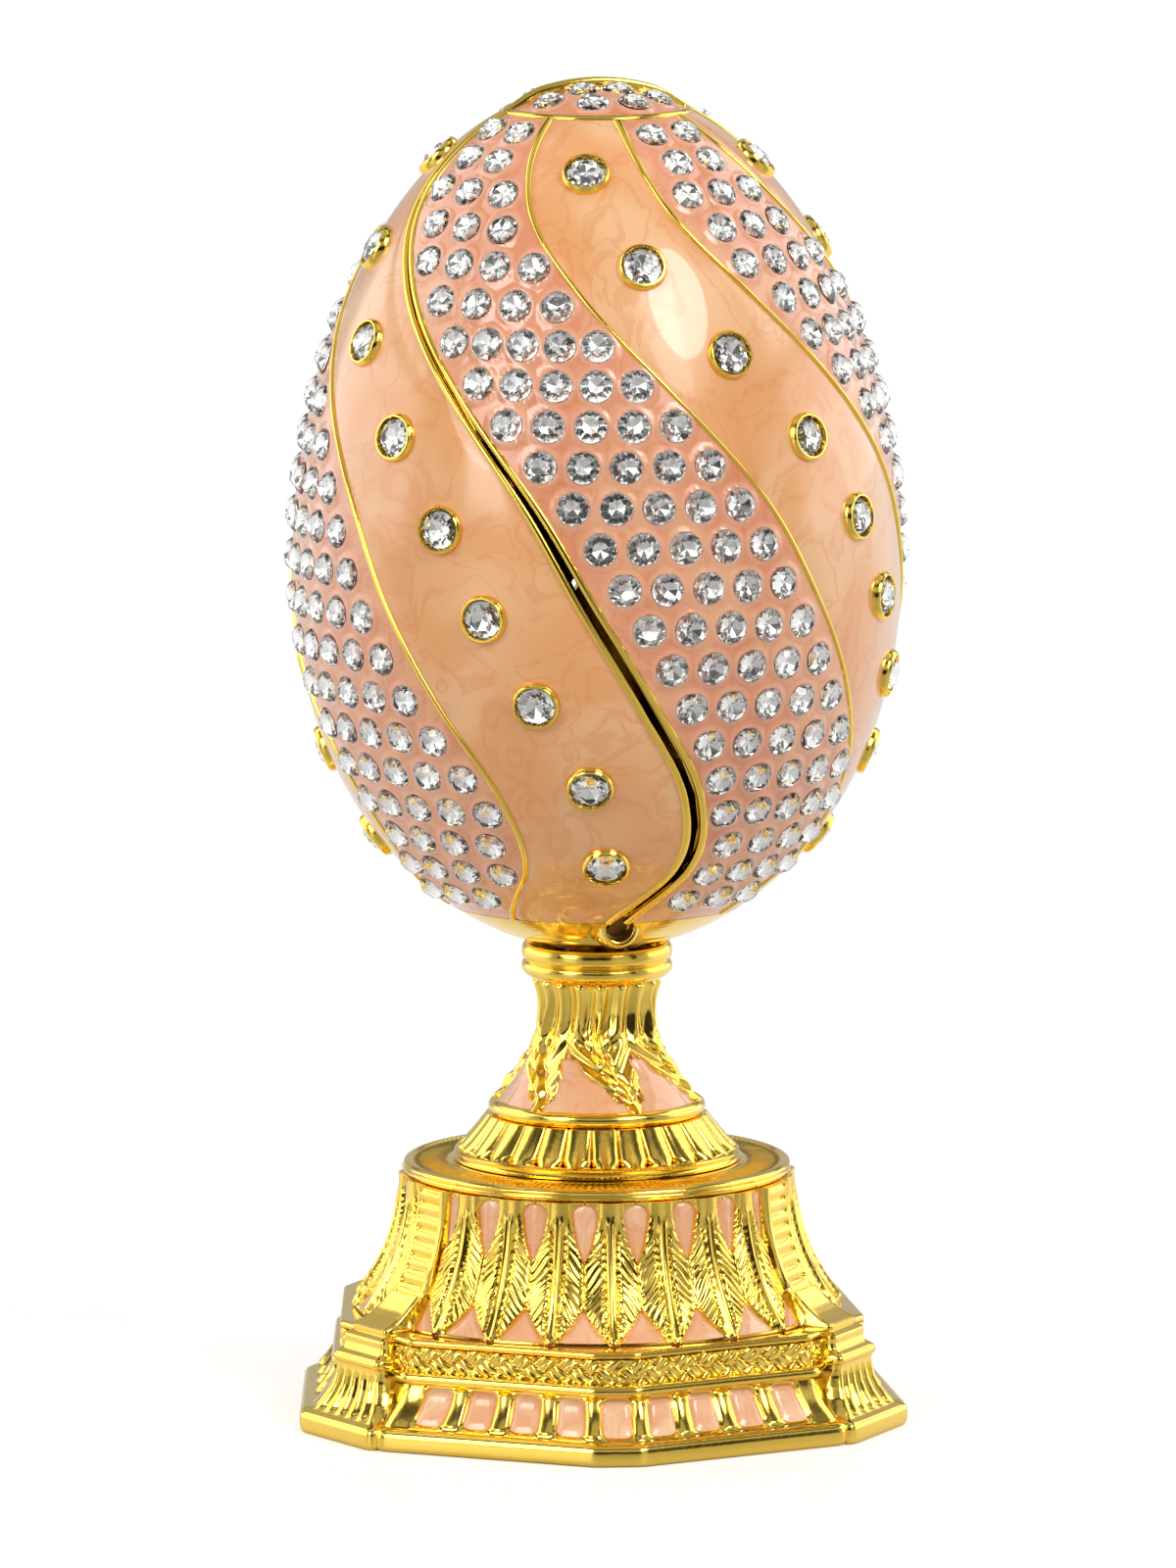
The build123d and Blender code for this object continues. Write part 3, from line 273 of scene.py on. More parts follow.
def grey(level):
    """Plain linear grey."""
    return (level, level, level, 1.0)


# %% [markdown]
# ## Gold plate
# The stand is cast and plated: bright yellow gold that turns orange where it reflects itself. The
# casting is never quite flat, so a fine noise leans the normal a little, and a slower one varies the
# polish. The smooth trim of the egg has the same gold with less of both.

# %% Metals


def gold(name, unevenness, dullness):
    """Plated gold: a slow noise shifts the colour and the polish, a finer one leans the normal."""
    recipe = Recipe(bpy.data.materials.new(name))
    slow = recipe.noise(110.0)
    fine = recipe.noise(1300.0, detail=3.0)
    tone = recipe.mix(slow, colour(246, 205, 84), colour(252, 218, 106))
    return recipe.finish(
        Base_Color=tone, Metallic=1.0, Roughness=dullness + slow * 0.06 + fine * 0.05,
        Normal=recipe.relief(fine * 0.5 + slow, 0.0001, unevenness))


def plain_metal(name, first, second, dullness, streak):
    """Turned or brushed metal: noise stretched along one way shifts colour and polish."""
    recipe = Recipe(bpy.data.materials.new(name))
    stretched = recipe.node("Mapping", inputs={"Vector": recipe.place(), "Scale": (1.0, 1.0, streak)})
    grain = recipe.noise(900.0, stretched, detail=3.0)
    return recipe.finish(
        Base_Color=recipe.mix(grain, first, second), Metallic=1.0, Roughness=dullness + grain * 0.15,
        Normal=recipe.relief(grain, 0.00005, 0.3))


cast_gold = gold("cast_gold", 0.34, 0.08)
trim_gold = gold("trim_gold", 0.22, 0.06)
# darker brass, used for the hinge pins
dark_brass = plain_metal("dark_brass", colour(112, 78, 36), colour(158, 116, 60), 0.25, 8.0)
turned_brass = plain_metal("turned_brass", colour(196, 160, 88), colour(224, 190, 116), 0.22, 12.0)
satin_steel = plain_metal("satin_steel", colour(170, 170, 174), colour(206, 206, 210), 0.2, 6.0)
foil = plain_metal("stone_foil", colour(246, 246, 246), colour(253, 253, 253), 0.01, 1.0)

# %% [markdown]
# ## Enamel
# The enamel is pearly paint poured in thin swirls. One noise bends the coordinates of another, and
# where the second one crosses its middle value a thin darker line is drawn, which gives the marbled
# look. A clear coat makes it shine. Round each small stone the enamel is painted paler and pinker, a
# painted highlight for light caught by the raised enamel, so it is darkest between the stones; the
# mesh carries how near each point is to a stone.

# %% Enamels


def enamel(name, base, pale, line, swirl=95.0, ring_sheen_colour=None):
    """Marbled enamel: lines where a bent noise is near its middle, pale clouds from a slower one."""
    recipe = Recipe(bpy.data.materials.new(name))
    place = recipe.place()
    bend = recipe.noise(swirl * 0.7, place, output="Color")
    pushed = recipe.node("VectorMath", {"operation": "MULTIPLY_ADD"},
                         {0: bend, 1: (0.012, 0.012, 0.020), 2: place})
    flow = recipe.noise(swirl, pushed, detail=3.0, distortion=1.6)
    cloud = recipe.noise(swirl * 0.55, pushed, detail=1.0, distortion=0.8)
    thread = 1.0 - recipe.level(recipe.away(flow, 0.5), 0.0, 0.045)
    clouds = recipe.level(cloud, 0.40, 0.68)
    tone = recipe.mix(clouds, base, pale)
    tone = recipe.mix(thread * 0.38, tone, line)
    # painted highlight: a paler, pinker ring round each small stone, for light caught by the raised enamel
    if ring_sheen_colour is not None:
        near = recipe.node("Attribute", {"attribute_name": "stone_nearness"}, output="Fac")
        tone = recipe.mix(near * 0.7, tone, ring_sheen_colour)
    fine = recipe.noise(260.0, place)
    return recipe.finish(
        Base_Color=tone, Roughness=0.30 + clouds * 0.08, Coat_Weight=1.0, Coat_Roughness=0.05,
        Specular_IOR_Level=0.5, Normal=recipe.relief(fine + flow * 0.25, 0.0003, 0.12))


band_finish = enamel("peach_enamel", colour(242, 170, 106), colour(248, 192, 138), colour(230, 142, 74))
# the field's last colour is its painted highlight round the stones
field_finish = enamel("rose_enamel", colour(236, 154, 110), colour(244, 178, 130), colour(226, 126, 76),
                      swirl=140.0, ring_sheen_colour=colour(246, 184, 152))
stand_finish = enamel("stand_enamel", colour(244, 180, 132), colour(250, 202, 158), colour(234, 154, 102),
                      swirl=150.0)

# %% Clear stones and felt


def clear_stone():
    """Clear lead glass with a faint change of tint from stone to stone."""
    recipe = Recipe(bpy.data.materials.new("clear_stone"))
    tint = recipe.mix(recipe.noise(150.0), colour(248, 249, 252), colour(255, 252, 244))
    return recipe.finish(Base_Color=tint, Roughness=0.0, IOR=1.6, Transmission_Weight=1.0)


def felt_cloth():
    """Dark felt: fine noise for the fibres, in colour and in height."""
    recipe = Recipe(bpy.data.materials.new("felt_cloth"))
    fibre = recipe.noise(2200.0, detail=4.0)
    return recipe.finish(
        Base_Color=recipe.mix(fibre, colour(58, 26, 30), colour(96, 46, 50)), Roughness=0.95,
        Normal=recipe.relief(fibre, 0.0002, 0.8))


stone_glass = clear_stone()
felt_finish = felt_cloth()

# %% [markdown]
# ## The egg's surface
# The egg is two half ellipses turned about the axis: one above the widest ring, one below. The seam
# and all bands follow one curve, the turn of the seam at each height, which passes smoothly through a
# few measured stations. Everything on the egg is placed by its angle from the seam and its height.

# %% Egg, seam and what lies along it
EGG_RADIUS, EGG_UPPER, EGG_LOWER, EGG_BOTTOM = 36.7, 59.3, 45.3, 56.7
EGG_WIDEST = EGG_BOTTOM + EGG_LOWER
EGG_HEIGHT = EGG_LOWER + EGG_UPPER
EGG_TOP = EGG_BOTTOM + EGG_HEIGHT
REST_TURN = 5.5
CAP_FOOT = EGG_BOTTOM + 5.7
TOP_CAP_RADIUS = 11.4
# degrees round the egg: one field, one field with its band
FIELD, REPEAT = 47.5, 90.0
SEAM_SHARES = np.array([-0.03, 0.06, 0.125, 0.21, 0.32, 0.43, 0.56, 0.68, 0.79, 0.89, 1.03])
SEAM_TURNS = np.array([-24.0, 0.0, 13.5, 12.0, 1.0, -10.0, -23.0, -41.0, -61.0, -79.0, -92.0])
RIM_WIDTH, WIRE_WIDTH, CAP_RIM_WIDTH = 1.1, 0.8, 0.6
TOP_GAP, EXTRA_LOW_GAP = 0.34, 0.76
GAP_NARROWS, GAP_NARROWED = EGG_BOTTOM + 30.33, EGG_BOTTOM + 79.5


def half_height(height):
    """Upper or lower half axis of the egg."""
    return np.where(height > EGG_WIDEST, EGG_UPPER, EGG_LOWER)


def egg_radius_at(height):
    """Radius of the ellipse: the widest one times the arch of the share of height."""
    return EGG_RADIUS * arch((height - EGG_WIDEST) / half_height(height))


def egg_height_at(radius):
    """Height on the upper half where the egg has a radius."""
    return EGG_WIDEST + EGG_UPPER * np.sqrt(1.0 - (radius / EGG_RADIUS) ** 2)


cap_edge = egg_height_at(TOP_CAP_RADIUS)


def seam_turn(height):
    """Cubic curve through the stations, with the slope at each from its two neighbours."""
    share = (np.asarray(height, float) - EGG_BOTTOM) / EGG_HEIGHT
    last = len(SEAM_SHARES) - 1
    index = np.clip(np.searchsorted(SEAM_SHARES, share) - 1, 0, last - 1)
    before, after = np.maximum(index - 1, 0), np.minimum(index + 2, last)
    span = SEAM_SHARES[index + 1] - SEAM_SHARES[index]
    slope_in = (SEAM_TURNS[index + 1] - SEAM_TURNS[before]) / (
        SEAM_SHARES[index + 1] - SEAM_SHARES[before]) * span
    slope_out = (SEAM_TURNS[after] - SEAM_TURNS[index]) / (SEAM_SHARES[after] - SEAM_SHARES[index]) * span
    t = (share - SEAM_SHARES[index]) / span
    return ((2 * t**3 - 3 * t**2 + 1) * SEAM_TURNS[index] + (t**3 - 2 * t**2 + t) * slope_in
            + (3 * t**2 - 2 * t**3) * SEAM_TURNS[index + 1] + (t**3 - t**2) * slope_out)


def seam_gap(height):
    """Width of the seam's gap: wide low down, where the halves don't quite meet, narrow at the top."""
    return TOP_GAP + EXTRA_LOW_GAP * (1.0 - smooth_step(GAP_NARROWS, GAP_NARROWED, height))


def egg_levels(foot, head, count):
    """Heights at even steps of the ellipse's own angle."""
    start, end = [np.arcsin((z - EGG_WIDEST) / float(half_height(z))) for z in (foot, head)]
    angle = np.linspace(start, end, count)
    return EGG_WIDEST + np.where(angle > 0, EGG_UPPER, EGG_LOWER) * np.sin(angle)


def on_egg(azimuth, height, lift=0.0):
    """Point on the egg, moved along the surface's normal by a lift."""
    radius = egg_radius_at(height)
    out, up = radius / EGG_RADIUS**2, (height - EGG_WIDEST) / half_height(height) ** 2
    length = np.hypot(out, up)
    return round_axis(radius + lift * out / length, height + lift * up / length, azimuth)


def on_cap(right, along, lift=0.0):
    """Point on the top cap, by its distances to the right of the straight cut and along it."""
    azimuth = seam_turn(cap_edge) + np.degrees(np.arctan2(right, along))
    return on_egg(azimuth, egg_height_at(np.hypot(right, along)), lift)


def make_halves(name, points, faces, finish, slot, nodes=(), **more):
    """The same piece for both halves of the egg: the left one is turned half round."""
    for side, turn in (("right", REST_TURN), ("left", REST_TURN + 180.0)):
        make_piece(f"{side}_{name}", turned(points.reshape(-1, 3), turn), faces, f"{side}_half", slot,
                   finish, replaced=[f"{side}_{node}" for node in nodes], **more)


def joined(parts):
    """Several (points, faces) pairs as one: the faces of each count on from the points before it."""
    points, blocks, offset = [], [], 0
    for part_points, part_faces in parts:
        flat = part_points.reshape(-1, 3)
        for block in part_faces if isinstance(part_faces, list) else [part_faces]:
            blocks.append(block + offset)
        points.append(flat)
        offset += len(flat)
    return np.concatenate(points), blocks


# %% [markdown]
# ## Gold rims and wires
# Each line of gold is a rounded strip that follows the seam's curve. Its section is half a turn of a
# sine, flattened a little, and its foot is sunk under the enamel on both sides.

# %% Rims and wires
SUNK, ROUNDNESS, LINE_FOOT = 0.42, 0.45, CAP_FOOT + 0.1
RIM_RISE, WIRE_RISE = 0.25, 0.22
CAP_RIM_RISE, CAP_RIM_SWELL, CAP_RIM_SLOPE, CAP_RIM_END = 0.35, 0.74, 5.0, 0.2
RING_HALF, RING_START = 0.45, 2.0
WIRE_SPREAD, WIRE_SPREAD_LENGTH = 0.15, 7.0
across_line = np.linspace(0.0, np.pi, 14)[None, :]


def line_lift(rise):
    """Lift across a line of gold: minus the sunk depth plus a power of the sine."""
    return -SUNK + (rise + SUNK) * np.sin(across_line) ** ROUNDNESS


def strip(angle, left, right, rise, rows=340):
    """Strip up the egg; its edges are functions of the height."""
    height = egg_levels(LINE_FOOT, cap_edge, rows)[:, None]
    left, right = left(height), right(height)
    sideways = (left + right) / 2 - (right - left) / 2 * np.cos(across_line)
    azimuth = seam_turn(height) + angle + np.degrees(sideways / egg_radius_at(height))
    return on_egg(azimuth, height, line_lift(rise)), capped_faces(rows, across_line.size)


def cap_strip(rows=80):
    """Rim of the straight cut over the top cap; it stands higher towards the top."""
    end = TOP_CAP_RADIUS - CAP_RIM_END
    along = np.linspace(-end, end, rows)[:, None]
    right = seam_gap(EGG_TOP) / 2 + CAP_RIM_WIDTH / 2 - CAP_RIM_WIDTH / 2 * np.cos(across_line)
    swell = smooth_step(TOP_CAP_RADIUS, TOP_CAP_RADIUS - CAP_RIM_SLOPE, np.abs(along))
    points = on_cap(right, along, line_lift(CAP_RIM_RISE + CAP_RIM_SWELL * swell))
    return points[::-1], capped_faces(rows, across_line.size)


def cap_ring(rows=140):
    """Ring of the top cap on one half: the strip's section carried round from the seam."""
    turn = np.linspace(RING_START, 180.0 - RING_START, rows)[:, None] + seam_turn(cap_edge)
    radius = TOP_CAP_RADIUS - RING_HALF + RING_HALF * np.cos(across_line)
    points = on_egg(turn, egg_height_at(radius), line_lift(RIM_RISE))
    return points[::-1], capped_faces(rows, across_line.size)


def wire_half(height):
    """Half width of a wire, which spreads a little where it meets the ring of the cap."""
    return WIRE_WIDTH / 2 + WIRE_SPREAD * smooth_step(cap_edge - WIRE_SPREAD_LENGTH, cap_edge, height)


def seam_half(height):
    """Half the gap of the seam."""
    return seam_gap(height) / 2


rim_parts = [
    strip(0.0, seam_half, lambda z: seam_half(z) + RIM_WIDTH, RIM_RISE),
    strip(180.0, lambda z: -seam_half(z) - RIM_WIDTH, lambda z: -seam_half(z), RIM_RISE),
]
for wire_turn in (FIELD, REPEAT, REPEAT + FIELD):
    rim_parts.append(strip(wire_turn, lambda z: -wire_half(z), wire_half, WIRE_RISE))
rim_parts += [cap_strip(), cap_ring()]
rim_points, rim_faces = joined(rim_parts)
make_halves("gold_lines", rim_points, rim_faces, trim_gold, "gold_plate", ["rim_and_wires"])

# %% [markdown]
# ## Seats of the stones
# The small stones stand in level rows across each field, the large ones one after another down the
# middle of each band, and each half of the cap has six, listed one by one. A seat is an azimuth and a
# height on the egg.

# %% Where the stones sit
SMALL, LARGE, STONE_ROOM = 1.95, 2.3, 0.15
WALK_STEP, FIRST_ROW_WAY, ROW_PITCH, LAST_ROW_RISE = 0.05, 15.2, 4.84, 2.6
ROW_MARGIN, PITCH, LEAST_PITCH, SLOPE_STEP = 5.0, 5.1, 4.15, 0.5
BAND_COUNT, BAND_DROP, BAND_RISE = 9, 8.6, 14.0


def row_heights():
    """Even steps down the egg's curved side: the way is the sum of the short chords from the top."""
    height = np.arange(EGG_TOP, CAP_FOOT + LAST_ROW_RISE, -WALK_STEP)
    chords = np.hypot(np.diff(height), np.diff(egg_radius_at(height)))
    way = np.concatenate([[0.0], np.cumsum(chords)])
    return np.interp(np.arange(FIRST_ROW_WAY, way[-1], ROW_PITCH), way, height)


def field_seats():
    """Rows of small stones: as many in a row as its arc holds, spread about the middle of the free
    length. Where the seam leans, its gold is wider along a level row by the steepness."""
    azimuths, heights = [], []
    for height in row_heights():
        radius = float(egg_radius_at(height))
        arc = np.radians(FIELD) * radius
        above, below = height + SLOPE_STEP, height - SLOPE_STEP
        slope = np.radians(seam_turn(above) - seam_turn(below)) * radius / np.hypot(
            1.0, egg_radius_at(above) - egg_radius_at(below))
        steepness = np.hypot(1.0, slope)
        for start, edge in ((0.0, seam_half(height) + RIM_WIDTH), (REPEAT, WIRE_WIDTH / 2)):
            first = (edge + SMALL + STONE_ROOM) * steepness
            room = arc - first - (WIRE_WIDTH / 2 + SMALL + STONE_ROOM) * steepness
            count = int(min((arc - ROW_MARGIN) // PITCH, room // LEAST_PITCH)) + 1
            pitch = min(PITCH, room / max(count - 1, 1))
            along = first + room / 2 + (np.arange(count) - (count - 1) / 2) * pitch
            azimuths.append(seam_turn(height) + start + np.degrees(along / radius))
            heights.append(np.full(count, height))
    return np.concatenate(azimuths), np.concatenate(heights)


def band_seats():
    """Nine large stones down the middle of each band, evenly from top to bottom."""
    height = np.tile(np.linspace(EGG_TOP - BAND_DROP, EGG_BOTTOM + BAND_RISE, BAND_COUNT), 2)
    start = np.repeat([FIELD, REPEAT + FIELD], BAND_COUNT)
    return seam_turn(height) + start + (REPEAT - FIELD) / 2, height


def cap_seats():
    """Six stones, each given by its distances along the straight cut and away from it."""
    along = np.array([6.8, 2.1, -2.9, 2.3, -1.9, -6.5])
    away = np.array([4.1, 7.5, 7.4, 2.95, 3.2, 4.1])
    return seam_turn(cap_edge) + np.degrees(np.arctan2(away, along)), egg_height_at(np.hypot(along, away))


def field_angle_of(azimuth, height):
    """Angle of a seat from the seam."""
    return azimuth - seam_turn(height)


field_azimuth, field_height = field_seats()
band_azimuth, band_height = band_seats()
cap_azimuth, cap_height = cap_seats()
print("stones of each half:", len(field_azimuth), len(band_azimuth), len(cap_azimuth))

# %% [markdown]
# ## Enamel of the fields and bands
# A field is a sheet on the egg between two gold lines. Round each small stone the enamel creeps up
# as a low ring, and under the stone it dips, so that the back of the stone has room. Each row of the
# sheet runs on along a curved back, so that the sheet is closed.

# %% Enamel sheets


def stone_distance(points, seats):
    """Distance from each point to the nearest seat, in millimetres."""
    nearest = np.full(points.shape[:-1], 1e3)
    for seat in seats:
        nearest = np.minimum(nearest, np.linalg.norm(points - seat, axis=-1))
    return nearest


BACK_POINTS, BACK_DEPTH, DEEPEST, ENAMEL_FOOT = 16, 0.44, 0.42, CAP_FOOT + 0.02
RING_AWAY, RING_SPREAD, RING_LIFT, DIP, FIELD_SINK = 0.12, 0.42, 0.20, 0.55, 0.03
BAND_SINK, BAND_CROWN, BAND_DIP = 0.02, 0.12, 0.5
UNDER_RIM, UNDER_WIRE = 0.9, WIRE_WIDTH / 4


def with_back(azimuth, height, lift):
    """Front points of a sheet, followed in each row by the points of its curved back."""
    share = np.linspace(0.0, 1.0, BACK_POINTS)[None, :]
    behind = azimuth[:, -1:] + (azimuth[:, :1] - azimuth[:, -1:]) * share
    back = np.full((len(height), BACK_POINTS), -BACK_DEPTH)
    azimuth = np.concatenate([azimuth, behind], axis=1)
    lift = np.concatenate([np.maximum(lift, -DEEPEST), back], axis=1)
    return on_egg(azimuth, height, lift)


def round_stones(distance):
    """Nearness to the small stones, also the painted highlight ring, and the lift of the enamel: a ring up,
    a dip under the stone.
    """
    ring = bump_at(SMALL + RING_AWAY, RING_SPREAD, distance)
    dip = 1.0 - smooth_step(SMALL * 0.72, SMALL * 0.97, distance)
    return ring, -FIELD_SINK + RING_LIFT * ring - DIP * dip


def sheet_azimuths(start, end, start_edge, end_edge, height, columns):
    """Azimuths across a sheet whose edges lie half under the gold lines."""
    radius = egg_radius_at(height)
    first = start + np.degrees(start_edge / radius)
    last = end - np.degrees(end_edge / radius)
    return seam_turn(height) + first + (last - first) * np.linspace(0.0, 1.0, columns)[None, :]


def field_sheet(start, start_edge, rows=330, columns=84):
    """Field with dips under the stones and low rings round them."""
    height = egg_levels(ENAMEL_FOOT, cap_edge, rows)[:, None]
    azimuth = sheet_azimuths(start, start + FIELD, start_edge, UNDER_WIRE, height, columns)
    chosen = np.abs(field_angle_of(field_azimuth, field_height) - start - FIELD / 2) < FIELD / 2
    seats = on_egg(field_azimuth[chosen], field_height[chosen])
    ring, lift = round_stones(stone_distance(on_egg(azimuth, height), seats))
    # the ring also places the painted highlight round each stone
    near = np.concatenate([ring, np.zeros((rows, BACK_POINTS))], axis=1)
    return with_back(azimuth, height, lift), capped_faces(rows, columns + BACK_POINTS), near


def band_sheet(start, end_edge, rows=300, columns=60):
    """Band, slightly crowned between its two gold lines, with dips under the large stones."""
    height = egg_levels(ENAMEL_FOOT, cap_edge, rows)[:, None]
    azimuth = sheet_azimuths(start, start + REPEAT - FIELD, UNDER_WIRE, end_edge, height, columns)
    across = np.linspace(-1.0, 1.0, columns)[None, :]
    chosen = np.abs(field_angle_of(band_azimuth, band_height) - start) < REPEAT - FIELD
    seats = on_egg(band_azimuth[chosen], band_height[chosen])
    distance = stone_distance(on_egg(azimuth, height), seats)
    dip = 1.0 - smooth_step(LARGE * 0.75, LARGE * 0.98, distance)
    lift = -BAND_SINK - BAND_CROWN * across**8 - BAND_DIP * dip
    return with_back(azimuth, height, lift), capped_faces(rows, columns + BACK_POINTS)


def cap_sheet(rows=60, columns=90):
    """Half disc of the cap inside its ring: a fan of rings, flattened against the straight cut."""
    radius = np.linspace(TOP_CAP_RADIUS - RING_HALF, 0.6, rows)[:, None]
    angle = np.linspace(0.0, np.pi, columns)[None, :]
    near = seam_gap(EGG_TOP) / 2 + CAP_RIM_WIDTH / 2
    right, along = np.maximum(radius * np.sin(angle), near), radius * np.cos(angle)
    ring, lift = round_stones(stone_distance(on_cap(right, along), on_egg(cap_azimuth, cap_height)))
    index = np.arange(rows * columns).reshape(rows, columns)
    faces = np.stack([index[:-1, :-1], index[:-1, 1:], index[1:, 1:], index[1:, :-1]], axis=-1)
    # the ring comes back too, for the painted highlight round each stone
    return on_cap(right, along, np.maximum(lift, -DEEPEST)), faces.reshape(-1, 4), ring


field_parts = [field_sheet(0.0, UNDER_RIM), field_sheet(REPEAT, UNDER_WIRE), cap_sheet()]
field_points, field_faces = joined([part[:2] for part in field_parts])
# rings of the painted highlight round the stones, for all three sheets
field_nearness = np.concatenate([part[2].ravel() for part in field_parts])
make_halves("field_glaze", field_points, field_faces, field_finish, "rose_enamel", ["field_enamel"],
            nearness=field_nearness)
band_points, band_faces = joined([band_sheet(FIELD, UNDER_WIRE), band_sheet(REPEAT + FIELD, UNDER_RIM)])
make_halves("band_glaze", band_points, band_faces, band_finish, "peach_enamel", ["band_enamel"])

# %% [markdown]
# ## Lining
# The open halves show their inside. A thin smooth skin lies on the inner wall of each, from one side
# of the seam to the other.

# %% Lining of the halves
WALL_INSET, LINING_THICKNESS, LINING_FOOT_RADIUS, LINING_HEAD, LINING_MARGIN = 2.45, 0.1, 17.0, 86.5, 0.3


def half_lining(rows=170, columns=110):
    """In each row an arc along the wall and an arc back. Radius and height are the egg's, drawn in by
    an inset: one reach times the cosine of the ellipse's own angle, the other times its sine."""
    start = -np.arccos(LINING_FOOT_RADIUS / (EGG_RADIUS - WALL_INSET))
    angle = np.linspace(start, np.radians(LINING_HEAD), rows)[:, None]
    arcs = []
    for inset, way in ((WALL_INSET, 1), (WALL_INSET + LINING_THICKNESS, -1)):
        radius = (EGG_RADIUS - inset) * np.cos(angle)
        height = EGG_WIDEST + (np.where(angle > 0, EGG_UPPER, EGG_LOWER) - inset) * np.sin(angle)
        first = np.degrees(np.arcsin((seam_half(height) + LINING_MARGIN) / radius))
        share = np.linspace(0.0, 1.0, columns)[None, ::way]
        azimuth = seam_turn(np.minimum(height, cap_edge)) + first + (180.0 - 2 * first) * share
        arcs.append(round_axis(radius, height, azimuth))
    return np.concatenate(arcs, axis=1), capped_faces(rows, 2 * columns)


make_halves("lining", *half_lining(), cast_gold, "gold_plate")

# %% [markdown]
# ## Cut stones
# A round stone has a flat table, a ring of facets down to its girdle, and a back of wedges that is
# coated like a mirror. Only the front is glass; light goes in, meets the mirror wedges and comes out
# as bright and dark rays. Each stone is turned and leaned a little at random, as hand-set ones are.

# %% Stones and collets
TABLE_REACH, KITE_REACH, KITE_LEVEL, GIRDLE_TOP, GIRDLE_FOOT = 0.52, 0.78, 0.66, 0.22, 0.08
STONE_DEPTH, STONE_LEAN = 0.38, 0.035
COLLET = np.array([
    # radius, height
    [2.36, -0.2], [2.98, -0.2], [2.95, 0.2], [2.85, 0.52], [2.66, 0.74], [2.47, 0.75], [2.36, 0.5]])


def cut_stone(radius, height, depth):
    """Table of eight sides, eight kites and twenty-four triangles above, eight mirror wedges below."""
    eight, sixteen = np.arange(8) * np.pi / 4, np.arange(16) * np.pi / 8

    def circle(angles, reach, level):
        level = np.full(len(angles), level)
        return np.stack([reach * np.cos(angles), reach * np.sin(angles), level], axis=-1)

    table = circle(eight, radius * TABLE_REACH, height)
    middle = circle(eight + np.pi / 8, radius * KITE_REACH, height * KITE_LEVEL)
    upper, lower = [circle(sixteen, radius, height * level) for level in (GIRDLE_TOP, GIRDLE_FOOT)]
    lower[1::2, :2] *= np.cos(np.pi / 8)
    points = np.concatenate([table, middle, upper, lower, [[0.0, 0.0, -depth]]])
    k = np.arange(8)
    t, m, u, low, tip = k, 8 + k, 16 + 2 * k, 32 + 2 * k, np.full(8, 48)
    after = (k + 1) % 8
    star = np.stack([t, m, t[after]], axis=-1)
    kites = np.stack([t, np.roll(m, 1), u, m], axis=-1)
    first = np.stack([u, u + 1, m], axis=-1)
    second = np.stack([u + 1, u[after], m], axis=-1)
    ring = np.arange(16)
    girdle = np.stack([32 + ring, 32 + (ring + 1) % 16, 16 + (ring + 1) % 16, 16 + ring], axis=-1)
    front = [k[None, :], star, kites, first, second, girdle]
    mains = np.stack([tip, low[after], low + 1, low], axis=-1)
    mirror = np.repeat([0.0, 1.0], [sum(len(block) for block in front), len(mains)])
    return points, front + [mains], mirror


def set_on_egg(unit, faces, azimuth, height, lean=0.0, spin=True):
    """Copies of a small shape, each with its own axis along the egg's normal at its seat."""
    count = len(azimuth)
    origin = on_egg(azimuth, height)
    normal = on_egg(azimuth, height, 1.0) - origin
    across = round_axis(np.ones(count), np.zeros(count), azimuth + 90.0)
    normal = normal + rng.normal(0.0, lean, (count, 3))
    normal /= np.linalg.norm(normal, axis=1, keepdims=True)
    across -= normal * np.sum(across * normal, axis=1, keepdims=True)
    across /= np.linalg.norm(across, axis=1, keepdims=True)
    up = np.cross(normal, across)
    turn = rng.uniform(0.0, 2.0 * np.pi, count)[:, None] * (1.0 if spin else 0.0)
    first = np.cos(turn) * across + np.sin(turn) * up
    second = np.cross(normal, first)
    axes = np.stack([first, second, normal], axis=1)
    points = origin[:, None, :] + unit @ axes
    step = (np.arange(count) * len(unit))[:, None, None]
    return points, [(block[None] + step).reshape(-1, block.shape[1]) for block in faces]


def make_stones(name, radius, height, seats, node):
    """Both halves' stones of one size, with their mirror backs."""
    unit, faces, mirror = cut_stone(radius, height, STONE_DEPTH)
    points, blocks = set_on_egg(unit, faces, *seats, lean=STONE_LEAN)
    marks, start = [], 0
    for block in faces:
        marks.append(np.tile(mirror[start:start + len(block)], len(seats[0])))
        start += len(block)
    make_halves(name, points, blocks, stone_glass, "clear_stone", [node], smooth=False,
                second=foil, marks=np.concatenate(marks))


def collet_ring(segments=36):
    """Rounded ring round a large stone: its outline of radius and height turned about its own axis."""
    angle = np.radians(all_round(segments))
    radius, height = COLLET[:, :1], COLLET[:, 1:]
    points = np.stack([radius * np.cos(angle), radius * np.sin(angle), height + 0 * angle], axis=-1)
    return points.reshape(-1, 3), [ring_faces(len(COLLET), segments, wrap=True)]


make_stones("small_brilliants", SMALL, 1.08, (field_azimuth, field_height), "field_stones")
make_stones("large_brilliants", LARGE, 1.22, (band_azimuth, band_height), "band_stones")
make_stones("cap_brilliants", SMALL, 0.85, (cap_azimuth, cap_height), "cap_stones")
collet_unit, collet_faces = collet_ring()
collet_points, collet_blocks = set_on_egg(collet_unit, collet_faces, band_azimuth, band_height, spin=False)
make_halves("collets", collet_points, collet_blocks, trim_gold, "gold_plate", ["stone_collets"])

# %% [markdown]
# ## Eye of the hinge
# Each half turns on a pin low at the front or the back. The casting has a round eye there, which
# comes just to the skin of the egg. It is turned about the pin's own axis, so it stays in its place
# when the half opens.

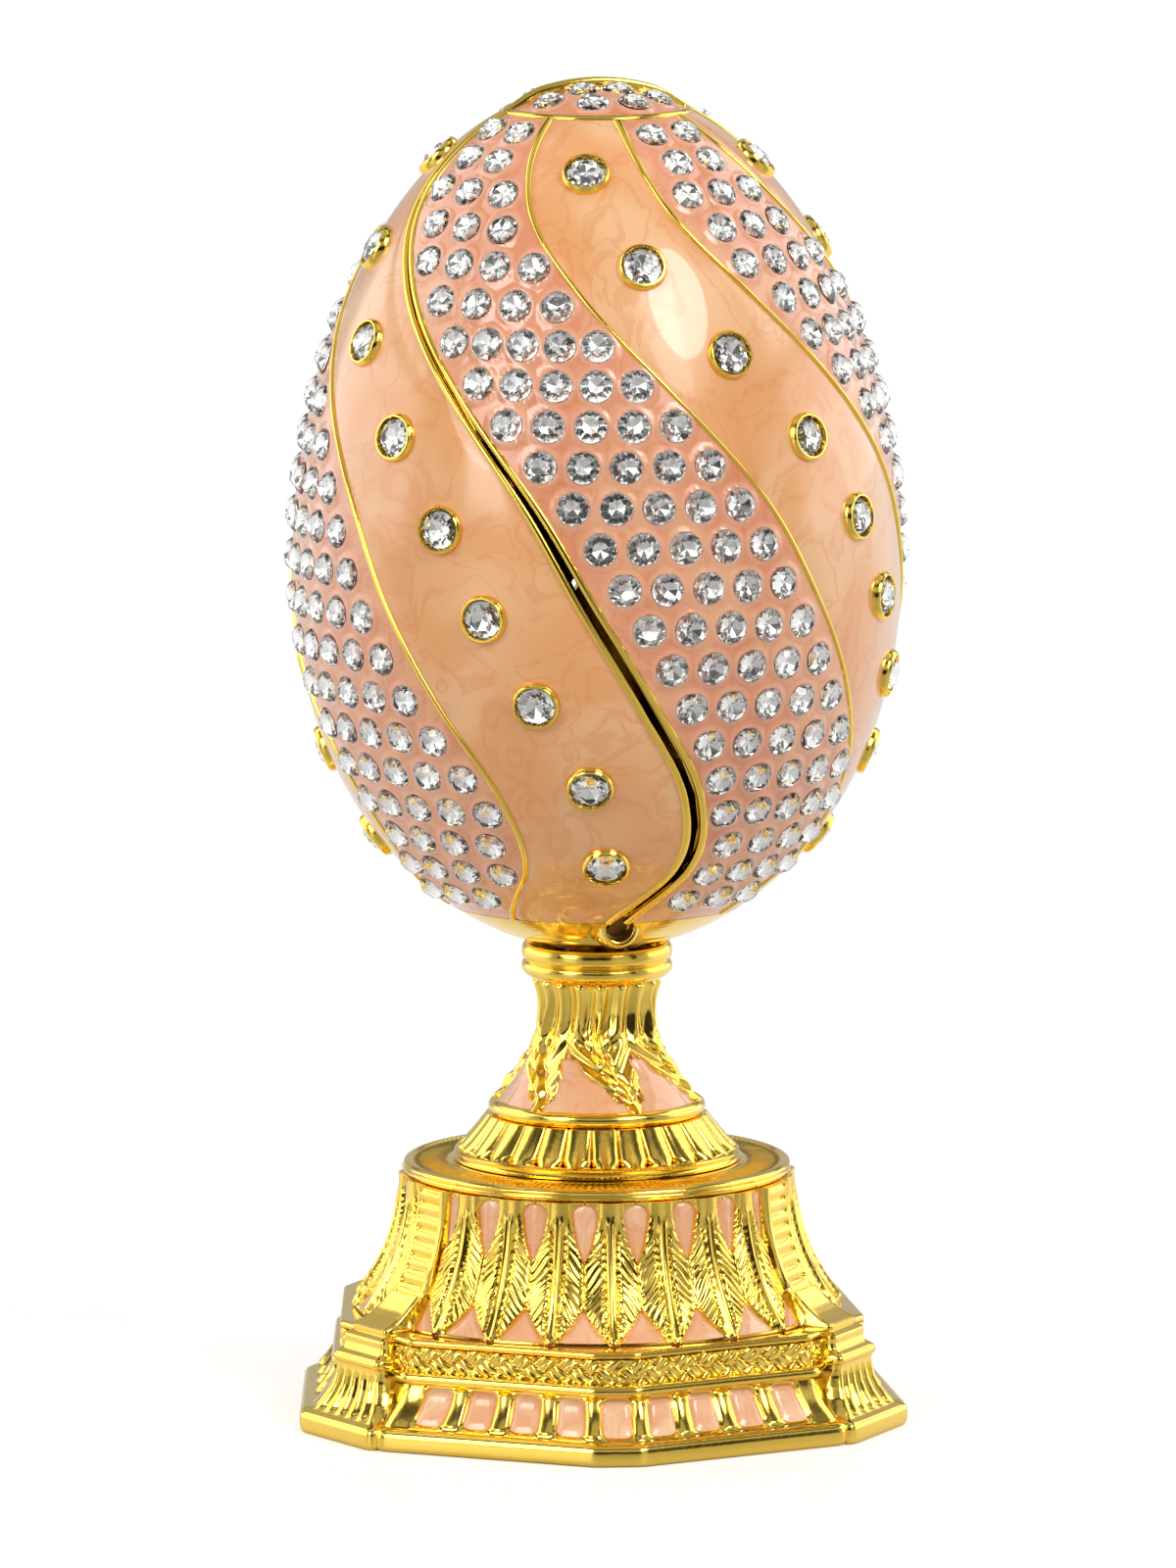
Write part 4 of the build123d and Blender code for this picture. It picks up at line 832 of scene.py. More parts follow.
# %% Hinge eyes
HINGE_HEIGHT = EGG_BOTTOM + 4.9
EYE = np.array([
    # distance from the pin's axis, reach from the egg's axis
    [3.0, 12.5], [2.9, 13.6], [2.65, 15.0], [2.45, 16.0], [2.3, 16.4], [2.1, 16.6], [1.85, 16.6],
    [1.68, 16.5], [1.62, 16.3], [1.62, 12.5]])


def hinge_eye(segments=72):
    """Rounded ring: the outline turned about the pin's axis."""
    angle = np.radians(all_round(segments))
    ray, reach = EYE[:, :1], EYE[:, 1:]
    side, up = ray * np.cos(angle), HINGE_HEIGHT + ray * np.sin(angle)
    return np.stack([side, -reach + 0 * angle, up], axis=-1), ring_faces(len(EYE), segments, wrap=True)


make_halves("hinge_eye", *hinge_eye(), trim_gold, "gold_plate")

# %% [markdown]
# ## The foot
# The foot has one plan, a triangle with blunt noses in the middle of its sides and wide blocks at its
# corners. A storey is that plan drawn in by a share, and relief is added along the plan's own normal.
# The windows and the braid are functions of the distance along the plan and the height.

# %% Plan of the foot
NOSE_REACH, NOSE_HALF, CORNER_REACH, CORNER_HALF = 38.3, 2.9, 37.3, 8.8


def foot_plan(count=840):
    """Points round the plan at even steps, rounded by a mean over neighbours, with normals and the
    distance along it from the nearest nose."""
    azimuth = np.repeat(np.arange(0.0, 360.0, 60.0), 2)
    reach = np.tile(np.repeat([NOSE_REACH, CORNER_REACH], 2), 3)
    half = np.tile(np.repeat([NOSE_HALF, CORNER_HALF], 2), 3) * np.tile([-1.0, 1.0], 6)
    angle = np.radians(azimuth)
    corners = np.stack([reach * np.sin(angle) + half * np.cos(angle),
                        half * np.sin(angle) - reach * np.cos(angle)], axis=-1)
    closed = np.concatenate([corners, corners[:1]])
    length = np.concatenate([[0.0], np.cumsum(np.linalg.norm(np.diff(closed, axis=0), axis=1))])
    along = np.linspace(0.0, length[-1], count, endpoint=False)
    plan = np.stack([np.interp(along, length, closed[:, axis]) for axis in (0, 1)], axis=-1)
    plan = sum(np.roll(plan, step, axis=0) for step in (-2, -1, 0, 1, 2)) / 5.0
    tangent = np.roll(plan, -1, axis=0) - np.roll(plan, 1, axis=0)
    tangent /= np.linalg.norm(tangent, axis=1, keepdims=True)
    normal = np.stack([tangent[:, 1], -tangent[:, 0]], axis=-1)
    third = length[-1] / 3.0
    return plan, normal, (along - NOSE_HALF + third / 2) % third - third / 2


plan, plan_normal, plan_along = foot_plan()
plan_azimuth = np.degrees(np.arctan2(plan[:, 0], -plan[:, 1]))


def storey(height, share, relief):
    """Rows of points: the plan times a share, moved along its normal by the relief."""
    flat = plan[None] * share[:, None, None] + plan_normal[None] * relief[..., None]
    return np.concatenate([flat, (height[:, None] + 0 * flat[..., 0])[..., None]], axis=-1)


def circle_rows(*radius_and_height):
    """Rows of points on circles, at the azimuths of the plan's points."""
    table = np.array(radius_and_height)
    return round_axis(table[:, :1], table[:, 1:], plan_azimuth[None, :])


# %% Foot with its windows and braid
TIER_FOOT, TIER_HEAD, TIER_LEAST, TIER_FLARE = 2.9, 7.6, 0.872, 0.083
WINDOW_PITCH, WINDOW_HALF, WINDOW_MIDDLE, WINDOW_HALF_HEIGHT = 5.9, 1.95, 5.22, 2.25
PANE_DEPTH, PANE_LIP, PANEL_HALF = 0.6, 0.08, 26.5
PILLAR_HALF, PILLAR_LIFT, PILLARS_END = 0.95, 0.42, 26.0
BRAID_FOOT, BRAID_HEAD, BRAID_SHARE, BRAID_LIFT, BRAID_SINK = 9.15, 12.05, 0.860, 0.42, 0.2
STRAND_LENGTH, STRAND_HEIGHT = 3.5, 2.5
# middle, half height, share of the plan and its swell
LOW_BEAD, HIGH_BEAD = (8.35, 0.75, 0.874, 0.020), (12.55, 0.45, 0.852, 0.014)
SLAB = np.array([
    # height, share of the plan
    [0.0, 0.982], [0.12, 0.991], [0.35, 0.997], [0.7, 1.0], [1.2, 1.0], [1.7, 1.0], [2.1, 0.998],
    [2.4, 0.993], [2.62, 0.984], [2.76, 0.972], [2.8, 0.957]])
INSIDE = ((28.6, 13.0), (26.5, 12.9), (26.5, 5.8), (28.0, 5.8), (28.0, 0.0), (29.4, 0.0), (29.4, 0.6),
          (33.0, 0.6), (33.0, 0.0))
# distance along the windows' wall, which stands further in than the plan
wall_along = (plan_along * 0.9135)[None, :]


def window_edge(height):
    """Distance inside the nearest window's outline, a rounded rectangle; below 0 outside it."""
    across = repeated(wall_along, WINDOW_PITCH) / WINDOW_HALF
    upward = (height[:, None] - WINDOW_MIDDLE) / WINDOW_HALF_HEIGHT
    edge = (1.0 - (np.abs(across) ** 5 + np.abs(upward) ** 5) ** 0.2) * WINDOW_HALF
    return np.where(np.abs(wall_along) < PANEL_HALF, edge, -1.0)


def tier_share(height):
    """Hollow curve of the window storey, between its foot and its head."""
    t = (height - TIER_FOOT) / (TIER_HEAD - TIER_FOOT)
    return TIER_LEAST + TIER_FLARE * (1.0 - t) ** 1.5


def pillar_relief(height):
    """Round pillars between the windows."""
    across = repeated(wall_along + WINDOW_PITCH / 2, WINDOW_PITCH) / PILLAR_HALF
    upright = smooth_step(2.95, 3.5, height) * smooth_step(7.6, 7.1, height)
    pillar = arch(across) * (np.abs(plan_along) < PILLARS_END)[None, :]
    return PILLAR_LIFT * pillar * upright[:, None]


def braid_relief(height):
    """Woven strands: in each diamond of a lattice the ridge runs one way or the other by turns."""
    along, level = plan_along[None, :] / STRAND_LENGTH, height[:, None] / STRAND_HEIGHT
    first, second = along + level, along - level
    over = (np.floor(first) + np.floor(second)) % 2 == 0
    cross = np.where(over, first % 1.0, second % 1.0)
    run = np.where(over, second % 1.0, first % 1.0)
    twin = np.abs(2.0 * cross - 1.0)
    ridge = np.sqrt(np.clip(1.0 - np.abs(2.0 * twin - 0.92) ** 2.4, 0.0, 1.0))
    return BRAID_LIFT * ridge * (0.6 + 0.4 * np.sin(np.pi * run)) - BRAID_SINK


def bead(middle, half, share, swell):
    """Rows of a half round moulding, from its foot to its head."""
    turn = np.linspace(0.0, np.pi, 10)
    return storey(middle - half * np.cos(turn), share + swell * np.sin(turn), np.zeros(len(plan)))


def make_foot():
    """Slab, windows, beads and braid as rows from the underside up, then back down inside."""
    tier_z, braid_z = np.linspace(TIER_FOOT, TIER_HEAD, 34), np.linspace(BRAID_FOOT, BRAID_HEAD, 30)
    edge = window_edge(tier_z)
    panes = -PANE_DEPTH * smooth_step(0.0, 0.28, edge) + PANE_LIP * bump_at(-0.12, 0.16, edge)
    panes = panes + pillar_relief(tier_z) * smooth_step(0.1, -0.05, edge)
    points = np.concatenate([
        storey(*SLAB.T, np.zeros(len(plan))),
        storey(tier_z, tier_share(tier_z), panes),
        bead(*LOW_BEAD),
        storey(braid_z, np.full(len(braid_z), BRAID_SHARE), braid_relief(braid_z)),
        bead(*HIGH_BEAD),
        circle_rows(*INSIDE),
    ])
    make_wrapped("foot_casting", points, "gold_plate", cast_gold, "plinth_casting")


def make_window_glaze():
    """Enamel behind the gold bars: a sheet sunk below them that swells inside each window."""
    level = np.linspace(2.95, 7.5, 27)
    share = tier_share(level)
    front = storey(level, share, -0.44 + 0.36 * smooth_step(0.0, 0.9, window_edge(level)))
    back = storey(level[::-1], share[::-1], np.full(len(plan), -0.9))
    make_wrapped("window_glaze", np.concatenate([front, back]), "stand_enamel", stand_finish,
                 "plinth_window_enamel")


make_foot()
make_window_glaze()

# %% [markdown]
# ## Corner blocks
# Below each corner strap stands a stack of mouldings with a fluted apron that sweeps out to the slab.
# Each level is a rounded rectangle of its own reach and half width, and the flutes are half waves
# across the front that fan out with it.

# %% Corner blocks
BLOCK_LEVELS = np.array([
    # height, reach, half width
    [0.0, 37.9, 7.7], [0.15, 38.1, 7.9], [0.5, 38.25, 8.05], [1.0, 38.3, 8.1], [1.9, 38.3, 8.1],
    [2.4, 38.15, 8.0], [2.7, 37.8, 7.7], [2.8, 37.4, 7.4], [3.2, 36.9, 7.0], [4.0, 36.3, 6.5],
    [5.0, 35.7, 5.9], [6.2, 35.2, 5.4], [7.4, 34.95, 5.1], [8.4, 34.8, 4.9], [8.9, 34.85, 4.9],
    [9.05, 35.1, 5.05], [9.4, 35.3, 5.1], [9.8, 35.25, 5.1], [10.15, 35.0, 4.95], [10.4, 34.5, 4.7],
    [10.7, 34.1, 4.45], [11.4, 33.9, 4.35], [12.0, 34.0, 4.4], [12.35, 33.9, 4.35], [12.6, 33.4, 4.0],
    [12.8, 33.1, 3.75], [13.0, 33.2, 3.75], [13.4, 33.2, 3.7], [13.7, 32.8, 3.6], [13.95, 32.0, 3.5],
    [14.5, 31.0, 3.35], [15.2, 30.0, 3.25], [16.0, 29.1, 3.15], [17.0, 28.1, 3.1],
])
SQUARENESS, BLOCK_INNER, FLUTE_COUNT, FLUTE_DEPTH = 14, 24.0, 3.0, 0.8


def block_loop(count=220):
    """A rounded square walked once round, starting at the back: a power of cosine and sine."""
    angle = np.linspace(0.0, 2.0 * np.pi, count, endpoint=False) + np.pi
    across, outward = np.sin(angle), np.cos(angle)
    norm = (np.abs(across) ** SQUARENESS + np.abs(outward) ** SQUARENESS) ** (1.0 / SQUARENESS)
    return across / norm, outward / norm


def make_corner_blocks():
    """Three stacks, with the flutes cut into the front of the apron."""
    across, outward = block_loop()
    levels, reaches, halves = BLOCK_LEVELS.T
    level = np.linspace(levels[0], levels[-1], 110)[:, None]
    reach = np.interp(level, levels, reaches)
    apron = smooth_step(3.0, 3.6, level) * (1.0 - smooth_step(7.4, 8.4, level))
    flute = np.abs(np.sin(np.pi * FLUTE_COUNT * across[None, :])) ** 0.7
    cut = FLUTE_DEPTH * apron * (1.0 - flute) * smooth_step(0.6, 0.95, outward)[None, :]
    side = across[None, :] * np.interp(level, levels, halves)
    out = BLOCK_INNER + (outward[None, :] + 1.0) / 2.0 * (reach - BLOCK_INNER) - cut
    block = np.stack([side, -out, level + 0 * side], axis=-1).reshape(-1, 3)
    faces = capped_faces(*side.shape)
    points, faces = joined([(turned(block, azimuth), faces) for azimuth in (60.0, 180.0, 300.0)])
    make_piece("corner_blocks", points, faces, "stand", "gold_plate", cast_gold)


make_corner_blocks()

# %% [markdown]
# ## The drum
# The drum is cast with its leaves, and the enamel is poured into the hollows between them. So the
# gold is one surface whose relief is a height map, the enamel is a second, smoother surface, and
# wherever the gold dips below the enamel the enamel shows. No outline has to be cut.

# %% Drum
DRUM_FOOT, RIM_FOOT = 13.0, 29.4
DIVISION, CELL_DROP, CELL_ROUND = 15.0, 1.75, 1.42
STRAP_HALF, STRAP_FLARE, STRAP_LIFT, RUNG_PITCH, RUNG_LIFT, RAIL_LIFT = 3.0, 0.9, 0.62, 1.62, 0.42, 0.55
VEIN_PITCH, VEIN_SLANT, LEAF_LIFT, LEAF_CROWN, BETWEEN = 1.05, 1.15, 0.22, 0.62, 0.35
LEAF_WIDTHS = np.array([
    # share of the way up, share of half the pitch
    [0.0, 0.1], [0.03, 0.28], [0.06, 0.44], [0.1, 0.60], [0.15, 0.77], [0.2, 0.92], [0.26, 1.12],
    [0.55, 1.12], [0.6, 0.92], [0.7, 0.73], [0.8, 0.61], [0.9, 0.53], [1.0, 0.52]])


def circle_through(first, middle, last):
    """Centre and radius of the circle through three points, from two equations for equal distance."""
    (x1, y1), (x2, y2), (x3, y3) = first, middle, last
    sides = np.array([[x2 - x1, y2 - y1], [x3 - x1, y3 - y1]]) * 2.0
    known = np.array([x2**2 - x1**2 + y2**2 - y1**2, x3**2 - x1**2 + y3**2 - y1**2])
    centre = np.linalg.solve(sides, known)
    return centre, np.hypot(centre[0] - x1, centre[1] - y1)


drum_centre, drum_curve = circle_through((29.2, 13.0), (24.6, 21.0), (23.2, 29.4))


def drum_radius(height):
    """Hollow side of the drum."""
    return drum_centre[0] - np.sqrt(drum_curve**2 - (height - drum_centre[1]) ** 2)


def drum_skin(height, azimuth, lift):
    """Hollow side of the drum, moved along its normal, which points to the centre of the curve."""
    radius = drum_radius(height)
    out, up = (drum_centre[0] - radius) / drum_curve, (drum_centre[1] - height) / drum_curve
    return round_axis(radius + lift * out, height + lift * up, azimuth)


def drum_shapes(height, azimuth):
    """Height map of the gold and distance into the gold, for a grid of heights and azimuths.

    A leaf has a crown, slanting veins, a rib, a groove beside it and a lip. A corner strap has rungs
    between two rails. At the drum's ends the metal swells towards the beads.
    """
    radius = drum_radius(height)
    division = np.round(azimuth / DIVISION)
    side = np.radians(azimuth - division * DIVISION) * radius
    off, corner = np.abs(side), division % 8 == 4
    t = (height - DRUM_FOOT) / (RIM_FOOT - DRUM_FOOT)
    pitch = np.radians(DIVISION / 2) * radius
    share = np.interp(t, *LEAF_WIDTHS.T)
    top = RIM_FOOT - CELL_DROP
    round_top = np.sqrt(np.clip(CELL_ROUND**2 - np.maximum(height - top, 0.0) ** 2, 0.0, None))
    cell = pitch * (1.0 - share)
    gold_half = pitch - np.where(height > top, np.minimum(cell, round_top), cell)
    strap_half = STRAP_HALF + STRAP_FLARE * (1.0 - t) ** 3
    inside = np.where(corner, strap_half, gold_half) - off
    u = off / (pitch * np.minimum(share, 1.0))
    shift = 0.22 * np.sin(1.3 * height + 1.9 * division)
    vein = (0.5 + 0.5 * np.cos(2.0 * np.pi * (height + VEIN_SLANT * off + shift) / VEIN_PITCH)) ** 1.4
    blade = smooth_step(0.86, 0.72, t) * smooth_step(0.6, 0.95, off / 0.8) * smooth_step(1.0, 0.8, u)
    depth = 0.15 + 0.05 * np.sin(3.0 * division + 1.3 * height)
    leaf = LEAF_LIFT + LEAF_CROWN * arch(u) - depth * vein * blade
    leaf += 0.16 * bump_at(0.34, 0.15, off) * smooth_step(0.92, 0.8, t)
    leaf -= 0.24 * bump_at(0.78, 0.22, off) * smooth_step(0.9, 0.75, t)
    leaf += 0.14 * bump_at(1.0, 0.09, u) * smooth_step(0.9, 0.8, t)
    rung = np.abs(np.sin(np.pi * (height - DRUM_FOOT) / RUNG_PITCH)) ** 0.45
    rail = smooth_step(0.58, 0.74, off / strap_half)
    strap = STRAP_LIFT + RUNG_LIFT * rung * (1.0 - rail) + RAIL_LIFT * rail
    edge = smooth_step(0.0, np.where(corner, 0.35, 0.22), inside)
    foot_swell = 0.75 * bump_at(DRUM_FOOT + 0.1, 0.35, height)
    head_swell = 0.28 * smooth_step(RIM_FOOT - 0.4, RIM_FOOT, height)
    relief = -BETWEEN + (np.where(corner, strap, leaf) + BETWEEN) * edge
    return np.maximum(relief, foot_swell + head_swell - BETWEEN * (1.0 - edge)), inside


def make_drum():
    """Relief of the drum with a plain inner wall."""
    azimuth, foot = all_round(960), DRUM_FOOT - 0.05
    height = np.linspace(foot, RIM_FOOT + 0.05, 98)[:, None]
    relief, _ = drum_shapes(height, azimuth)
    wall = np.array([[20.9, RIM_FOOT], [22.4, 21.0], [26.4, foot]])
    points = [drum_skin(height, azimuth, relief), round_axis(wall[:, :1], wall[:, 1:], azimuth)]
    make_wrapped("drum_relief", np.concatenate(points), "gold_plate", cast_gold)


def make_drum_glaze():
    """Enamel between the leaves: swells where it is far from the gold, and lies low under the gold."""
    azimuth = all_round(720)
    height = np.linspace(DRUM_FOOT + 0.05, RIM_FOOT - 0.3, 60)[:, None]
    _, inside = drum_shapes(height, azimuth)
    swell = np.where(inside < 0.05, 0.02 + 0.22 * smooth_step(0.0, 1.2, -inside), -0.1)
    points = [drum_skin(height, azimuth, swell), drum_skin(height[::-1], azimuth, -0.7)]
    make_wrapped("drum_glaze", np.concatenate(points), "stand_enamel", stand_finish, "drum_cell_enamel")


make_drum()
make_drum_glaze()

# %% [markdown]
# ## Rim, gadroons and beads
# These are all outlines turned about the axis, from the underside out and up, with relief that
# depends on the azimuth: fine rays on the disc and rounded lobes on the cone.

# %% Turned pieces
RAY_COUNT, RAY_LIFT, LOBE_COUNT = 160.0, 0.18, 28
BEAD_RADIUS, BEAD_HEIGHT, BEAD_HALF, BEAD_INNER = 12.25, 37.45, 0.93, 2.0
# outlines of radius and height
RIM = np.array([
    [20.9, 27.4], [20.9, 29.38], [22.8, 29.4], [23.1, 29.45], [23.38, 29.65], [23.48, 29.9],
    [23.42, 30.12], [23.3, 30.22], [23.38, 30.33], [23.44, 30.5], [23.36, 30.72], [23.1, 30.9],
    [22.75, 30.98], [22.4, 30.94], [22.25, 30.8], [22.0, 30.8], [21.2, 30.8], [20.4, 30.8], [19.6, 30.8],
    [18.6, 30.8], [18.2, 30.82], [18.0, 30.95], [17.5, 31.0], [10.0, 31.0]])
STEP = np.array([
    [10.0, 31.0], [17.1, 31.0], [17.42, 31.15], [17.5, 31.45], [17.3, 31.75], [17.05, 31.85],
    [17.15, 31.95], [17.2, 32.15], [17.0, 32.35], [16.7, 32.42]])
COLLAR = np.array([
    [3.0, 52.9], [7.3, 52.9], [7.75, 53.1], [8.3, 53.4], [8.8, 53.8], [9.1, 54.2], [9.15, 54.6],
    [9.1, 55.0], [8.85, 55.3], [8.7, 55.38], [8.72, 55.5], [8.95, 55.65], [9.13, 56.0], [9.15, 56.4],
    [9.1, 56.9], [8.95, 57.25], [8.7, 57.45], [8.5, 57.48], [8.4, 57.3], [8.4, 55.0], [8.2, 54.9],
    [3.0, 54.9]])


def poled_faces(rows, columns):
    """Faces of a turned outline that starts and ends on the axis; the two pole points come last."""
    index = np.arange(columns)
    after = np.roll(index, -1)
    low, high = rows * columns, rows * columns + 1
    bottom = np.stack([np.full(columns, low), after, index], axis=-1)
    top = (rows - 1) * columns + np.stack([index, after], axis=-1)
    top = np.concatenate([top, np.full((columns, 1), high)], axis=1)
    return [ring_faces(rows, columns), bottom, top]


def turned_solid(name, radius, height, azimuth, *nodes):
    """Solid from rows of radius and height, closed with a point on the axis at each end."""
    points = round_axis(radius, height, azimuth)
    ends = np.array([[0.0, 0.0, points[0, 0, 2]], [0.0, 0.0, points[-1, 0, 2]]])
    flat = np.concatenate([points.reshape(-1, 3), ends])
    make_piece(name, flat, poled_faces(*points.shape[:2]), "stand", "gold_plate", cast_gold, replaced=nodes)


def make_rim():
    """Rim of the drum, its moulded edge and the disc with fine rays."""
    azimuth = all_round(1280)
    radius, height = RIM[:, :1], RIM[:, 1:]
    disc = (radius > 18.3) & (radius < 22.1) & (height > 30.5)
    rays = (0.5 + 0.5 * np.cos(np.radians(azimuth) * RAY_COUNT)) * disc
    turned_solid("rim_and_disc", radius, height + RAY_LIFT * rays, azimuth)


def make_gadroons():
    """Cone of rounded lobes above a moulded step."""
    azimuth = all_round(1120)
    t = np.linspace(0.0, 1.0, 30)
    cone = np.stack([16.55 - 3.3 * t**0.85, 32.42 + 4.1 * t], axis=-1)
    outline = np.concatenate([STEP, cone, [[13.2, 36.55], [10.0, 36.55]]])
    radius, height = outline[:, :1], outline[:, 1:]
    share = np.concatenate([np.full(len(STEP), -1.0), t, [2.0, 2.0]])[:, None]
    within = np.clip(share, 0, 1)
    across = np.abs(repeated(azimuth, 360.0 / LOBE_COUNT) / (180.0 / LOBE_COUNT))
    foot = np.clip(1.0 - within / 0.22, 0.0, 1.0)
    lobe = arch(across) - 0.8 * foot**2 * across**1.5
    depth = np.where(share == within, 1.0 - 0.55 * within, 0.0)
    relief = 0.5 * depth - 1.25 * depth * (1.0 - lobe)
    turned_solid("gadroons", radius + relief, height, azimuth, "gadroon_cone")


def make_stem_bead():
    """Round ring, whose inner side reaches further in under the stem."""
    turn = np.linspace(-np.pi / 2, 1.5 * np.pi, 28, endpoint=False)[:, None]
    depth = np.where(np.cos(turn) < 0, BEAD_INNER, BEAD_HALF)
    radius, height = BEAD_RADIUS + depth * np.cos(turn), BEAD_HEIGHT + BEAD_HALF * np.sin(turn)
    points = round_axis(radius, height, all_round(300))
    make_wrapped("stem_ring", points, "gold_plate", cast_gold, "stem_bead_ring")


def make_collar():
    """Two beads with a groove between them, and the cup that the egg turns in."""
    points = round_axis(COLLAR[:, :1], COLLAR[:, 1:], all_round(360))
    make_wrapped("collar", points, "gold_plate", cast_gold, "collar_ring")


make_rim()
make_gadroons()
make_stem_bead()
make_collar()

# %% [markdown]
# ## The stem
# Six long leaves hang from the collar down the stem. Above they touch and make upright ribs, below
# each ends in a toothed tip that leans to the right, with enamel between. The same trick serves here:
# gold as a height map, enamel as a smooth skin just above its hollows.

# %% Stem
STEM_FOOT, STEM_HEAD, GLAZE_HEAD = 38.4, 53.4, 47.5
LEAF_PITCH, LEAF_START, TIP_LEAN, NECK_LEAN = 60.0, 2.0, 24.0, 7.0
TOOTH_COUNT, TOOTH_SIZE, RIB_COUNT = 6.5, 0.22, 18.0
STEM_LEAF_WIDTHS = np.array([
    # share of the way down, half width in degrees
    [0.0, 34.0], [0.50, 34.0], [0.57, 27.0], [0.66, 22.0], [0.8, 16.0], [0.92, 9.0], [1.0, 4.0]])
# a cubic through four measured points of the waist
STEM_CURVE = np.polyfit([38.4, 43.4, 49.0, 53.3], [11.8, 8.4, 6.35, 7.3], 3)


def stem_shapes(height, azimuth):
    """Height map of the stem's gold, and distance into it in degrees: upright ribs above, lobes, a
    middle rib and two grooves below."""
    down = (STEM_HEAD - height) / (STEM_HEAD - STEM_FOOT)
    lean = TIP_LEAN * smooth_step(0.42, 1.0, down) - NECK_LEAN * smooth_step(0.1, 0.55, down)
    local = repeated(azimuth - lean - LEAF_START, LEAF_PITCH)
    off = np.abs(local)
    tooth = np.abs((down * TOOTH_COUNT) % 1.0 - 0.15) * smooth_step(0.35, 0.5, down)
    teeth = 1.0 + TOOTH_SIZE * tooth * np.sign(0.5 - down % 0.2)
    inside = np.interp(down, *STEM_LEAF_WIDTHS.T) * teeth - off
    ribs = 0.5 + 0.5 * np.cos(np.radians(azimuth - lean * 0.6) * RIB_COUNT)
    upper = 1.0 - smooth_step(0.30, 0.62, down)
    lobes = 0.5 + 0.5 * np.cos(2.0 * np.pi * (height * 0.42 - off * 0.055))
    gold_height = 0.15 + 0.75 * ribs * upper + 0.42 * lobes * (1.0 - upper)
    gold_height += 0.45 * bump_at(0.0, 2.2, local) * smooth_step(0.12, 0.35, down)
    gold_height -= 0.22 * bump_at(5.0, 1.6, off) * smooth_step(0.15, 0.4, down)
    gold_height *= smooth_step(0.0, 0.05, down) * 0.7 + 0.3
    return -0.3 + (gold_height + 0.3) * smooth_step(0.0, 2.2, inside), inside


def make_stem():
    """Relief of the stem and the enamel between the tips of its leaves."""
    azimuth, foot = all_round(720), STEM_FOOT - 0.1
    height = np.linspace(foot, STEM_HEAD, 120)[:, None]
    relief, _ = stem_shapes(height, azimuth)
    turned_solid("stem_relief", np.polyval(STEM_CURVE, height) + relief, height, azimuth, "stem_casting")
    level = np.linspace(foot, GLAZE_HEAD, 50)[:, None]
    _, inside = stem_shapes(level, azimuth)
    side = np.polyval(STEM_CURVE, level)
    front = round_axis(side + 0.02 + 0.16 * smooth_step(0.0, 9.0, -inside), level, azimuth)
    back = round_axis(side[::-1] - 0.5, level[::-1], azimuth)
    make_wrapped("stem_glaze", np.concatenate([front, back]), "stand_enamel", stand_finish, "stem_enamel")


make_stem()

# %% [markdown]
# ## Pieces that stay as the CAD made them
# The castings of the two halves, the carrier, the movement, the key and the bottom plate already
# have their shapes. They only get their finishes.

# %% Finishes of the CAD pieces
finish_of = {
    "gold_plate": trim_gold, "plain_brass": turned_brass, "steel": satin_steel, "felt": felt_finish,
    "rose_enamel": field_finish, "peach_enamel": band_finish, "stand_enamel": stand_finish,
    "clear_stone": stone_glass,
}
for part in frame["record"]["subparts"]:
    node = frame["nodes"][part["node"]]
    finish = finish_of[part["material_slot"]]
    if not node.material_slots:
        node.data.materials.append(finish)
    for slot in node.material_slots:
        slot.material = finish
frame["nodes"]["hinge_pins"].material_slots[0].material = dark_brass

# %% [markdown]
# ## Studio
# The photograph is high key: a white, faintly glossy floor that fills the view, and soft light from
# all sides. Polished gold shows what surrounds it, so the world has a few dark stretches, as a studio
# has beside its soft boxes, that only reflections see.

# %% Floor, world, lamps


def make_floor():
    """Large pale floor with a faint gloss. Reflections see it darker towards the camera."""
    recipe = Recipe(bpy.data.materials.new("studio_floor"))
    pale = recipe.mix(recipe.noise(3.0), grey(0.90), grey(0.915))
    plain = recipe.node("BsdfPrincipled", inputs={"Base Color": pale, "Roughness": 0.06, "IOR": 1.22})
    glow = recipe.node("Emission", inputs={"Color": grey(1.0), "Strength": 0.36})
    lit = recipe.node("AddShader", inputs={0: plain, 1: glow})
    y = recipe.node("SeparateXYZ", inputs={0: recipe.place()}, output="Y")
    towards = recipe.mix(recipe.level(y, 0.03, -0.09), grey(0.98), grey(0.46))
    mirrored = recipe.node("BsdfPrincipled", inputs={"Base Color": towards, "Roughness": 0.4})
    seen = recipe.node("LightPath", output="Is Camera Ray")
    surface = recipe.node("MixShader", inputs={0: seen, 1: mirrored, 2: lit})
    recipe.node("OutputMaterial", inputs={"Surface": surface})
    mesh = bpy.data.meshes.new("studio_floor")
    mesh.from_pydata([(-9, -9, 0), (9, -9, 0), (9, 9, 0), (-9, 9, 0)], [], [(0, 1, 2, 3)])
    mesh.materials.append(recipe.owner)
    floor = bpy.data.objects.new("studio_floor", mesh)
    bpy.context.scene.collection.objects.link(floor)


